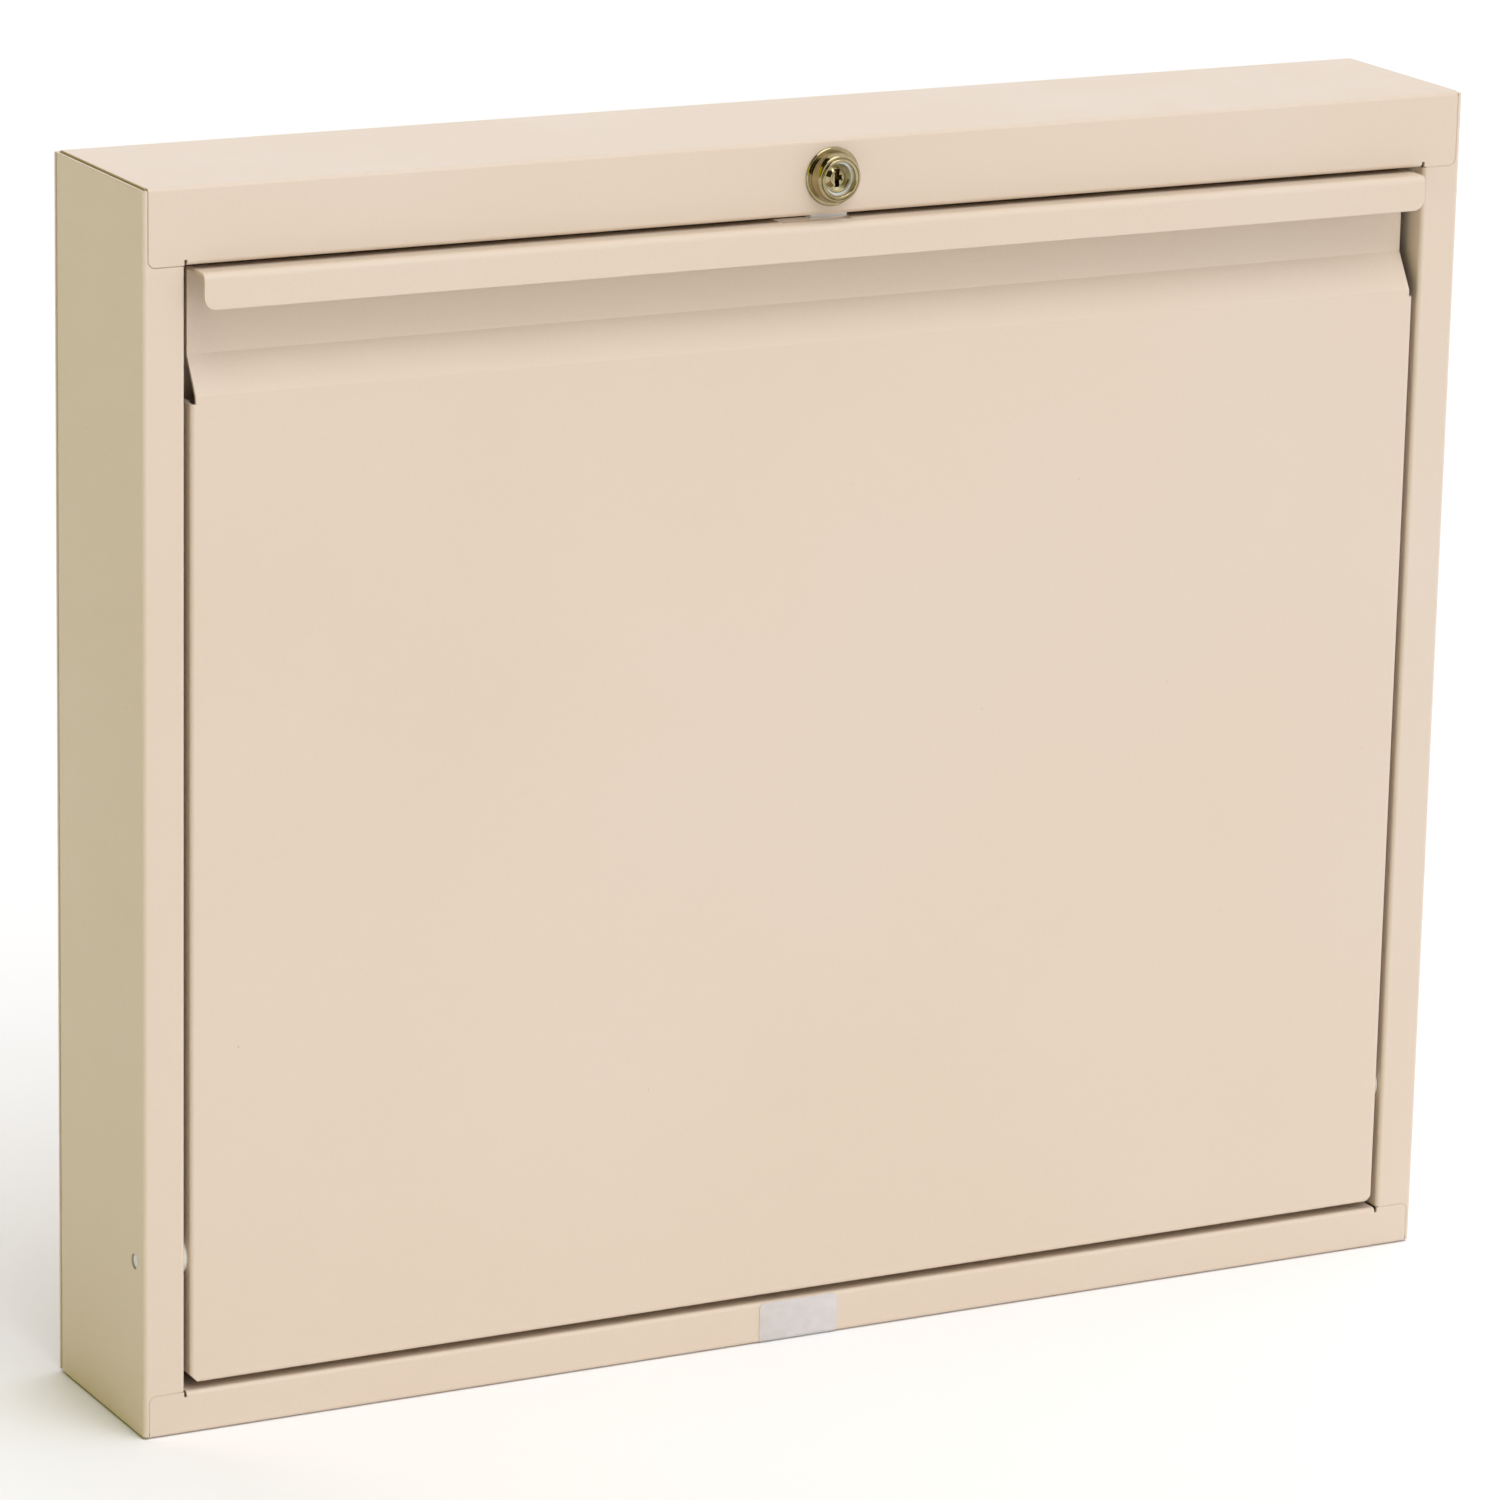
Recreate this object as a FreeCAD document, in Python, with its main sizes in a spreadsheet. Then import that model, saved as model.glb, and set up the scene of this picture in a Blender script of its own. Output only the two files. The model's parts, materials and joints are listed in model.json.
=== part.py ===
"""Wall-hung fold-down writing desk: a shallow sheet-steel cabinet whose front folds down.

Frame, in millimetres: +Z is up, +X runs to the right along the front, +Y points into the wall.
The origin is on the wall face, in the middle of the four wall-screw holes.
"""
import FreeCAD
import Part
import Sketcher
import os
import re

SIZES = {
    # case
    "case_width": 597.0,
    "case_height": 508.0,
    "case_depth": 89.0,
    "sheet": 1.2,
    "bend": 1.8,
    "seam": 0.3,
    "cap_seam": 0.6,
    "cap_rise": 0.9,
    "stile_width": 17.7,
    "stile_return": 20.0,
    "corner_strip": 2.1,
    "header_height": 31.0,
    "header_return": 12.0,
    "sill_height": 17.6,
    "sill_return": 20.0,
    "back_flange": 15.0,
    "flange_corner": 3.0,
    "relief_width": 0.9,
    "relief_height": 2.2,
    "screw_spacing": 406.4,
    "screw_rise": 304.8,
    "screw_hole": 7.0,
    # door
    "door_depth": 19.0,
    "gap_side": 2.5,
    "gap_base": 3.2,
    "gap_top": 2.0,
    "strip_height": 35.0,
    "jog_rise": 15.0,
    "finger_depth": 9.0,
    "lip_proud": 8.6,
    "lip_height": 14.4,
    "lip_bend": 3.0,
    "lip_relief": 0.2,
    "lip_corner": 5.0,
    "corner_cut": 0.2,
    "flange_stop": 3.0,
    "nest_gap": 0.2,
    "liner_hem": 12.0,
    "liner_top_gap": 2.0,
    "stiffener_width": 30.0,
    "stiffener_pitch": 140.0,
    "stiffener_end": 12.0,
    "surface_thick": 1.0,
    "surface_side": 16.0,
    "surface_base": 8.0,
    "surface_top": 6.0,
    "surface_corner": 8.0,
    # pivots
    "pivot_back": 9.9,
    "pivot_rise": 72.5,
    "pin_diameter": 6.35,
    "pin_fit": 0.05,
    "pin_recess": 0.3,
    "pin_tail": 4.0,
    "bush_rim": 13.8,
    "bush_rim_thick": 2.3,
    "bush_outer": 9.0,
    "bush_length": 8.3,
    "nut_diameter": 12.0,
    "nut_thick": 1.0,
    "nut_gap": 0.5,
    # shelf and stops
    "stop_gap": 0.3,
    "buffer_thick": 2.7,
    "buffer_diameter": 14.0,
    "buffer_inset": 16.0,
    "buffer_reach": 42.0,
    "shelf_front_gap": 2.5,
    "shelf_lip": 12.0,
    "shelf_end": 15.0,
    # magnetic catches
    "catch_width": 35.0,
    "catch_depth": 13.0,
    "catch_height": 16.0,
    "catch_drop": 17.0,
    "catch_clear": 0.2,
    "pole_gap": 0.3,
    "pole_length": 15.0,
    "pole_thick": 1.2,
    "magnet_thick": 5.0,
    "pole_inset": 2.0,
    "catch_screw": 3.5,
    "catch_screw_head": 7.0,
    "catch_screw_head_thick": 2.0,
    # lock
    "lock_drop": 15.5,
    "lock_hole": 18.4,
    "barrel_diameter": 18.0,
    "barrel_front": 5.0,
    "barrel_back": 11.5,
    "bezel_rim": 24.0,
    "bezel_rim_thick": 1.0,
    "bezel_dome": 21.0,
    "bezel_shoulder": 4.6,
    "bezel_shoulder_diameter": 19.4,
    "bezel_face": 16.0,
    "bezel_proud": 7.5,
    "bezel_mouth": 13.4,
    "plug_diameter": 12.0,
    "plug_recess": 0.6,
    "keyway_width": 2.2,
    "keyway_height": 8.0,
    "keyway_depth": 7.0,
    "crank_radius": 4.2426,
    "crank_pin": 3.0,
    "crank_slack": 0.3,
    "driver_thick": 1.5,
    "driver_clear": 0.3,
    "bolt_width": 16.6,
    "bolt_front_gap": 0.7,
    "bolt_depth": 4.6,
    "bolt_plate_width": 24.0,
    "bolt_plate_thick": 3.0,
    "bolt_bridge": 1.8,
    "bolt_travel": 6.0,
    "bolt_tip_gap": 0.3,
    "bolt_head": 3.0,
    "bolt_slack": 0.3,
    "body_width": 33.0,
    "body_floor": 2.0,
    "body_roof": 1.8,
    "cover_thick": 2.0,
    "cover_screw": 2.5,
    "cover_screw_head": 4.4,
    "cover_screw_head_thick": 1.2,
    "cover_screw_length": 7.0,
    "slot_left": 22.0,
    "slot_right": 9.5,
    "slot_depth": 9.0,
    "slot_reach": 0.5,
    # rivets and label
    "rivet_shank": 3.0,
    "rivet_head": 6.0,
    "rivet_head_thick": 0.8,
    "rivet_length": 3.0,
    "label_width": 36.6,
    "label_height": 17.4,
    "label_thick": 0.3,
    "label_offset": -3.2,
}

WORDS = re.compile(r"[a-z_]+[a-z]")

# Planes and lines of the frame, in terms of the sheet's own names
FRONT = "(-case_depth)"
TOP = "(case_height / 2)"
BASE = "(-case_height / 2)"
SIDE = "(case_width / 2)"
HEADER_EDGE = "(case_height / 2 - header_height)"
SILL_EDGE = "(-case_height / 2 + sill_height)"
STILE_EDGE = "(case_width / 2 - stile_width)"
BACK_FLANGE_FRONT = "(-2 * sheet)"

DOOR_SIDE = f"({STILE_EDGE} - gap_side)"
DOOR_TOP = f"({HEADER_EDGE} - gap_top)"
DOOR_BASE = f"({SILL_EDGE} + gap_base)"
DOOR_BACK = f"({FRONT} + door_depth)"
LIP_SIDE = f"({DOOR_SIDE} - bend - lip_relief)"
LIP_FRONT = f"({FRONT} - lip_proud)"
STRIP_FRONT = f"({FRONT} + finger_depth)"
JOG_TOP = f"({DOOR_TOP} - strip_height)"
JOG_BASE = f"({JOG_TOP} - jog_rise)"
JOG_SHIFT = "(sheet * tan(atan(finger_depth / jog_rise) / 2))"
FLANGE_TOP = f"({JOG_BASE} - flange_stop)"
CORNER_CUT = "(2 * bend + corner_cut)"
LINER_SIDE = f"({DOOR_SIDE} - sheet - nest_gap)"
LINER_TOP = f"({DOOR_TOP} - liner_top_gap)"
LINER_BASE = f"({DOOR_BASE} + sheet + nest_gap)"

PIVOT_Y = f"({FRONT} + pivot_back)"
PIVOT_Z = "(-case_height / 2 + pivot_rise)"
TAIL_FACE = f"({PIVOT_Z} + door_depth - pivot_back)"
SHELF_UNDER = f"({TAIL_FACE} + stop_gap + buffer_thick)"
SHELF_FRONT = f"({DOOR_BACK} + surface_thick + shelf_front_gap)"
POLE_FACE = f"({DOOR_BACK} + pole_gap)"

LOCK_Z = "(case_height / 2 - lock_drop)"
BOLT_TIP = f"({DOOR_TOP} + bolt_tip_gap)"
BOLT_FRONT = f"({FRONT} + sheet + bolt_front_gap)"
BOLT_BACK = f"({BOLT_FRONT} + bolt_depth)"
BARREL_BACK = f"({FRONT} + barrel_back)"
PLATE_FRONT = f"({BARREL_BACK} + driver_thick + bolt_slack)"
PLATE_BACK = f"({PLATE_FRONT} + bolt_plate_thick)"
BODY_BACK = f"({PLATE_BACK} + bolt_slack)"
COVER_BACK = f"({BODY_BACK} + cover_thick)"
CRANK_RISE = "(crank_radius * sin(45))"
PLATE_TOP = f"({LOCK_Z} + {CRANK_RISE} + crank_pin / 2 + crank_slack + bolt_head)"
BRIDGE_TOP = f"({BOLT_TIP} + bolt_travel + bolt_bridge)"
BODY_BASE = f"({HEADER_EDGE} + body_floor)"
BODY_TOP = f"({TOP} - sheet - body_roof)"

doc = FreeCAD.newDocument("fold_down_desk")
sheet = doc.addObject("Spreadsheet::Sheet", "Sizes")
for row, (alias, size) in enumerate(SIZES.items(), start=1):
    sheet.set(f"A{row}", alias)
    sheet.set(f"B{row}", str(size))
    sheet.setAlias(f"B{row}", alias)
doc.recompute()


def bound(text):
    """Turn an expression in plain size names into one that points at the sheet's cells."""
    text = str(text)
    return WORDS.sub(lambda word: "Sizes." + word[0] if word[0] in SIZES else word[0], text)


def value(text):
    """Give the present value of an expression in plain size names."""
    return float(sheet.evalExpression(bound(text)))


def bind(item, name, text):
    """Bind one property of an object to an expression in plain size names."""
    item.setExpression(name, bound(text))


def origin_plane(body, role):
    """Find one of a body's own origin planes by its role."""
    return next(plane for plane in body.Origin.OriginFeatures if plane.Role == role)


def new_body(label):
    """Start a sub-part as a body of its own."""
    body = doc.addObject("PartDesign::Body", label)
    body.Label = label
    return body


def new_sketch(body, role, offset):
    """Put an empty sketch on a body's own origin plane, shifted along the plane's normal."""
    sketch = body.newObject("Sketcher::SketchObject", f"{body.Name}_sketch")
    sketch.AttachmentSupport = (origin_plane(body, role), [""])
    sketch.MapMode = "FlatFace"
    bind(sketch, "AttachmentOffset.Base.z", offset)
    return sketch


def pin_down(sketch, line, point, across, up):
    """Fix a sketch point's two coordinates to the sheet."""
    for kind, text in (("DistanceX", across), ("DistanceY", up)):
        number = sketch.addConstraint(Sketcher.Constraint(kind, -1, 1, line, point, value(text)))
        bind(sketch, f"Constraints[{number}]", text)


def add_outline(sketch, corners):
    """Draw a closed outline whose corners are all bound to the sheet."""
    first = sketch.GeometryCount
    places = [FreeCAD.Vector(value(across), value(up), 0) for across, up in corners]
    for start, end in zip(places, places[1:] + places[:1]):
        sketch.addGeometry(Part.LineSegment(start, end), False)
    for index, (across, up) in enumerate(corners):
        following = (index + 1) % len(corners)
        sketch.addConstraint(Sketcher.Constraint("Coincident", first + index, 2, first + following, 1))
        pin_down(sketch, first + index, 1, across, up)


def add_circle(sketch, across, up, radius):
    """Draw a circle whose centre and radius are bound to the sheet."""
    centre = FreeCAD.Vector(value(across), value(up), 0)
    line = sketch.addGeometry(Part.Circle(centre, FreeCAD.Vector(0, 0, 1), value(radius)), False)
    pin_down(sketch, line, 3, across, up)
    number = sketch.addConstraint(Sketcher.Constraint("Radius", line, value(radius)))
    bind(sketch, f"Constraints[{number}]", radius)


def rectangle(left, right, low, high):
    """Give the four corners of a rectangle."""
    return [(left, low), (right, low), (right, high), (left, high)]


def thicken(body, kind, sketch, length):
    """Pad or pocket a sketch by the same amount on both sides of its plane."""
    feature = body.newObject(f"PartDesign::{kind}", f"{body.Name}_{kind.lower()}")
    feature.Profile = sketch
    feature.SideType = "Symmetric"
    bind(feature, "Length", length)
    doc.recompute()
    return feature


def add_block(body, kind, left, right, front, back, low, high):
    """Pad or pocket one box, given by its six faces."""
    sketch = new_sketch(body, "XY_Plane", f"({low} + {high}) / 2")
    add_outline(sketch, rectangle(left, right, front, back))
    return thicken(body, kind, sketch, f"{high} - ({low})")


def pad_profile(body, role, corners, length):
    """Pad one outline symmetrically about its plane through the origin."""
    sketch = new_sketch(body, role, "0")
    add_outline(sketch, corners)
    return thicken(body, "Pad", sketch, length)


def drill(body, role, offset, centres, diameter, length):
    """Pocket round holes square to a plane, through the given length around its offset."""
    sketch = new_sketch(body, role, offset)
    for across, up in centres:
        add_circle(sketch, across, up, f"{diameter} / 2")
    return thicken(body, "Pocket", sketch, length)


def edges_along(shape, direction, places):
    """Name the straight edges along X, Y or Z that pass through any of the given places."""
    others = [index for index in range(3) if index != "XYZ".index(direction)]
    targets = [[value(text) for text in place] for place in places]
    names = []
    for number, edge in enumerate(shape.Edges, start=1):
        straight = edge.Curve.TypeId == "Part::GeomLine"
        if not straight or abs(edge.Curve.Direction["XYZ".index(direction)]) < 0.999:
            continue
        middle = edge.CenterOfMass
        for target in targets:
            if all(abs(middle[index] - near) < 0.01 for index, near in zip(others, target)):
                names.append(f"Edge{number}")
    return names


def round_edges(body, direction, places, radius):
    """Fillet the edges of the body's tip that run along one direction through the given places."""
    base = body.Tip
    names = edges_along(base.Shape, direction, places)
    if not names:
        raise ValueError(f"{body.Label}: no edge to round at {places}")
    fillet = body.newObject("PartDesign::Fillet", f"{body.Name}_fillet")
    fillet.Base = (base, names)
    bind(fillet, "Radius", radius)
    doc.recompute()
    return fillet


def round_bends(body, direction, outer, inner):
    """Round a folded sheet's bends: the outer edges by the bend, the inner ones by what is left."""
    round_edges(body, direction, outer, "bend")
    round_edges(body, direction, inner, "bend - sheet")


def turn(body, role, corners):
    """Revolve a closed outline about the sketch's first axis."""
    sketch = new_sketch(body, role, "0")
    add_outline(sketch, corners)
    feature = body.newObject("PartDesign::Revolution", f"{body.Name}_turned")
    feature.Profile = sketch
    feature.ReferenceAxis = (sketch, ["H_Axis"])
    feature.Angle = 360
    doc.recompute()
    return feature


def place(item, x="0", y="0", z="0"):
    """Bind an object's position to the sheet."""
    for axis, text in (("x", x), ("y", y), ("z", z)):
        bind(item, f"Placement.Base.{axis}", text)


def cylinder(name, diameter, length, x, y, z, direction):
    """Make a round bar from a point along X or Y."""
    bar = doc.addObject("Part::Cylinder", name)
    bind(bar, "Radius", f"{diameter} / 2")
    bind(bar, "Height", length)
    turns = {
        "X": (FreeCAD.Vector(0, 1, 0), 90),
        "Y": (FreeCAD.Vector(1, 0, 0), -90),
        "Z": (FreeCAD.Vector(0, 0, 1), 0),
    }
    bar.Placement.Rotation = FreeCAD.Rotation(*turns[direction])
    place(bar, x, y, z)
    return bar


def join(kind, label, pieces):
    """Join pieces as one fused solid or as a group of separate solids."""
    group = doc.addObject(f"Part::{kind}", label)
    if kind == "Compound":
        group.Links = pieces
    else:
        group.Shapes = pieces
    group.Label = label
    return group


def mirror_pair(low, high):
    """Give one stretch of X and its mirror image."""
    return [(low, high), (f"-({high})", f"-({low})")]


# ---------------------------------------------------------------- case


def side_panel(label, sign):
    """Folded channel: web, front stile with its return, and back flange."""
    body = new_body(label)
    web = f"{sign} * {SIDE}"
    inner = f"{sign} * ({SIDE} - sheet)"
    edge = f"{sign} * {STILE_EDGE}"
    edge_inner = f"{sign} * ({STILE_EDGE} + sheet)"
    flange_end = f"{sign} * ({SIDE} - back_flange)"
    stile_back = f"{FRONT} + sheet"
    return_end = f"{FRONT} + stile_return"
    corners = [
        (web, FRONT),
        (edge, FRONT),
        (edge, return_end),
        (edge_inner, return_end),
        (edge_inner, stile_back),
        (inner, stile_back),
        (inner, BACK_FLANGE_FRONT),
        (flange_end, BACK_FLANGE_FRONT),
        (flange_end, "-sheet"),
        (web, "-sheet"),
    ]
    pad_profile(body, "XY_Plane", corners, "case_height - 2 * cap_rise")
    round_bends(
        body,
        "Z",
        [(web, FRONT), (edge, FRONT), (web, "-sheet")],
        [(inner, stile_back), (edge_inner, stile_back), (inner, BACK_FLANGE_FRONT)],
    )
    strip = f"{sign} * ({SIDE} - corner_strip)"
    beyond = f"{sign} * ({STILE_EDGE} - seam)"
    for low, high in ((f"{HEADER_EDGE} - seam", TOP), (BASE, f"{SILL_EDGE} + seam")):
        add_block(body, "Pocket", strip, beyond, f"{FRONT} - seam", stile_back, low, high)
        add_block(body, "Pocket", inner, beyond, stile_back, f"{return_end} + seam", low, high)
        add_block(
            body, "Pocket", inner, beyond, f"{BACK_FLANGE_FRONT} - seam", "0", f"({low}) - seam",
            f"({high}) + seam",
        )
    notches = [(strip, f"{HEADER_EDGE} - seam"), (strip, f"{SILL_EDGE} + seam")]
    round_edges(body, "Y", notches, "flange_corner + seam")
    drill(
        body, "YZ_Plane", f"{sign} * ({SIDE} - stile_width / 2)", [(PIVOT_Y, PIVOT_Z)],
        "pin_diameter", "stile_width + seam",
    )
    return body


def cap_panel(label, sign, outer, edge, reach):
    """Folded cap that closes the case above or below: front flange with its return, web, back flange."""
    body = new_body(label)
    web = f"({outer} - {sign} * sheet)"
    lip = f"({edge} + {sign} * sheet)"
    front_back = f"{FRONT} + sheet"
    return_end = f"{FRONT} + {reach}"
    flange_end = f"({outer} - {sign} * back_flange)"
    corners = [
        (FRONT, outer),
        (FRONT, edge),
        (return_end, edge),
        (return_end, lip),
        (front_back, lip),
        (front_back, web),
        (BACK_FLANGE_FRONT, web),
        (BACK_FLANGE_FRONT, flange_end),
        ("-sheet", flange_end),
        ("-sheet", outer),
    ]
    pad_profile(body, "YZ_Plane", corners, f"2 * ({SIDE} - sheet - cap_seam)")
    round_bends(
        body,
        "X",
        [(FRONT, outer), (FRONT, edge), ("-sheet", outer)],
        [(front_back, lip), (front_back, web), (BACK_FLANGE_FRONT, web)],
    )
    low, high = (edge, outer) if sign > 0 else (outer, edge)
    flange_side = f"{SIDE} - corner_strip - seam"
    for left, right in mirror_pair(flange_side, SIDE):
        add_block(
            body, "Pocket", left, right, f"{FRONT} - seam", f"{FRONT} + bend + seam",
            f"({low}) - seam", f"({high}) + seam",
        )
    for left, right in mirror_pair(f"{STILE_EDGE} - seam", SIDE):
        add_block(
            body, "Pocket", left, right, front_back, f"{return_end} + seam", f"({edge}) - bend",
            f"({edge}) + bend",
        )
    inward = f"({edge} + {sign} * 2 * bend)"
    low, high = (edge, inward) if sign > 0 else (inward, edge)
    for left, right in mirror_pair(f"{STILE_EDGE} - seam", flange_side):
        add_block(body, "Pad", left, right, FRONT, front_back, low, high)
    for left, right in mirror_pair(f"{STILE_EDGE} - relief_width", f"{STILE_EDGE} + seam"):
        tip = f"({edge} + {sign} * relief_height)"
        low, high = (edge, tip) if sign > 0 else (tip, edge)
        add_block(body, "Pocket", left, right, f"{FRONT} - seam", f"{return_end} + seam", low, high)
    ends = [(f"{half} * ({flange_side})", f"({edge})") for half in (1, -1)]
    round_edges(body, "Y", ends, "flange_corner")
    return body


def top_panel():
    """Top cap: its deep front flange carries the lock, and its return is notched for the bolt."""
    body = cap_panel("top_panel", 1, TOP, HEADER_EDGE, "header_return")
    drill(body, "XZ_Plane", f"-({FRONT} + sheet / 2)", [("0", LOCK_Z)], "lock_hole", "3 * sheet")
    notch = "bolt_width / 2 + bolt_slack"
    add_block(
        body, "Pocket", f"-({notch})", notch, f"{BOLT_FRONT} - bolt_slack",
        f"{FRONT} + header_return + seam",
        f"{HEADER_EDGE} - seam", f"{HEADER_EDGE} + bend",
    )
    return body


def bottom_panel():
    """Bottom cap: a low front flange and a return that the door's tail swings over."""
    body = cap_panel("bottom_panel", -1, BASE, SILL_EDGE, "sill_return")
    return body


def back_panel():
    """Flat back with the four wall-screw holes."""
    body = new_body("back_panel")
    add_block(
        body, "Pad", f"-{SIDE}", SIDE, "-sheet", "0", f"({BASE} + cap_rise)", f"({TOP} - cap_rise)",
    )
    centres = [(f"{x} * screw_spacing / 2", f"{z} * screw_rise / 2") for x in (1, -1) for z in (1, -1)]
    drill(body, "XZ_Plane", "sheet / 2", centres, "screw_hole", "3 * sheet")
    return body


def storage_shelf():
    """Shelf above the door's tail: front lip up, ends and back edge down."""
    body = new_body("storage_shelf")
    half = f"({SIDE} - sheet)"
    over = f"({SHELF_UNDER} + sheet)"
    corners = [
        (SHELF_FRONT, SHELF_UNDER),
        (SHELF_FRONT, f"{SHELF_UNDER} + shelf_lip"),
        (f"{SHELF_FRONT} + sheet", f"{SHELF_UNDER} + shelf_lip"),
        (f"{SHELF_FRONT} + sheet", over),
        (BACK_FLANGE_FRONT, over),
        (BACK_FLANGE_FRONT, f"{over} - shelf_end"),
        (f"{BACK_FLANGE_FRONT} - sheet", f"{over} - shelf_end"),
        (f"{BACK_FLANGE_FRONT} - sheet", SHELF_UNDER),
    ]
    pad_profile(body, "YZ_Plane", corners, f"2 * {half}")
    round_bends(
        body,
        "X",
        [(SHELF_FRONT, SHELF_UNDER), (BACK_FLANGE_FRONT, over)],
        [(f"{SHELF_FRONT} + sheet", over), (f"{BACK_FLANGE_FRONT} - sheet", SHELF_UNDER)],
    )
    for left, right in mirror_pair(f"{half} - sheet", half):
        add_block(
            body, "Pad", left, right, f"{SHELF_FRONT} + bend", f"{BACK_FLANGE_FRONT} - bend",
            f"{over} - shelf_end", over,
        )
    for left, right in mirror_pair(f"{half} - bend", f"{half} + seam"):
        add_block(
            body, "Pocket", left, right, f"{BACK_FLANGE_FRONT} - bend", "0",
            f"{over} - shelf_end - seam", f"{over} + seam"
        )
    return body


def stop_buffers():
    """Rubber discs under the shelf that the door's tail comes up against."""
    across = f"{DOOR_SIDE} - buffer_inset"
    discs = [
        cylinder(
            f"buffer_{name}", "buffer_diameter", "buffer_thick",
            f"{sign} * ({across})", f"{PIVOT_Y} + buffer_reach", f"{SHELF_UNDER} - buffer_thick", "Z",
        )
        for name, sign in (("left", -1), ("middle", 0), ("right", 1))
    ]
    return join("Compound", "stop_buffers", discs)


def magnetic_catch(name, sign):
    """One catch: a moulded housing, two pole plates around a magnet, and two screws through it."""
    outer = f"({SIDE} - sheet)"
    inner = f"({SIDE} - sheet - catch_width)"
    front = f"({FRONT} + max(stile_return; door_depth + pole_gap) + catch_clear)"
    back = f"({front} + catch_depth)"
    high = f"({LINER_TOP} - catch_drop + catch_height / 4)"
    low = f"({high} - catch_height)"
    middle = f"(({low} + {high}) / 2)"
    pole_end = f"({inner} + pole_inset)"
    pole_start = f"({pole_end} + pole_length)"
    pole_back = f"({front} + catch_depth / 2)"
    pocket_half = "(magnet_thick / 2 + pole_thick)"

    housing = new_body(f"catch_{name}")
    add_block(housing, "Pad", f"{sign} * {inner}", f"{sign} * {outer}", front, back, low, high)
    add_block(
        housing, "Pocket", f"{sign} * {pole_end}", f"{sign} * {pole_start}", f"{front} - seam", pole_back,
        f"{middle} - {pocket_half}", f"{middle} + {pocket_half}",
    )
    screw_y = f"({back} - catch_depth / 4)"
    heights = [f"({middle} + {side} * catch_height / 4)" for side in (1, -1)]
    screw_places = [(screw_y, height) for height in heights]
    drill(housing, "YZ_Plane", f"{sign} * ({SIDE} - catch_width / 2)", screw_places,
          "catch_screw", "2 * catch_width")

    magnet = new_body(f"magnet_{name}")
    add_block(
        magnet, "Pad", f"{sign} * {pole_end}", f"{sign} * {pole_start}", front, pole_back,
        f"{middle} - magnet_thick / 2", f"{middle} + magnet_thick / 2",
    )
    plates = []
    for side, word in ((1, "upper"), (-1, "lower")):
        plate = new_body(f"pole_{name}_{word}")
        near = f"({middle} + {side} * magnet_thick / 2)"
        far = f"({middle} + {side} * {pocket_half})"
        bottom, roof = (near, far) if side > 0 else (far, near)
        add_block(
            plate, "Pad", f"{sign} * {pole_end}", f"{sign} * {pole_start}", POLE_FACE, pole_back,
            bottom, roof,
        )
        plates.append(plate)
    screws = []
    for number, height in enumerate(heights):
        start = f"{sign} * ({inner} - catch_screw_head_thick)" if sign > 0 else f"-({inner})"
        head = cylinder(
            f"head_{name}_{number}", "catch_screw_head", "catch_screw_head_thick", start, screw_y,
            height, "X",
        )
        shank_start = inner if sign > 0 else f"-{outer}"
        shank = cylinder(
            f"shank_{name}_{number}", "catch_screw", "catch_width", shank_start, screw_y, height,
            "X",
        )
        screws.append(join("MultiFuse", f"catch_screw_{name}_{number}", [head, shank]))
    return housing, magnet, plates, screws


# ---------------------------------------------------------------- door


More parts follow.
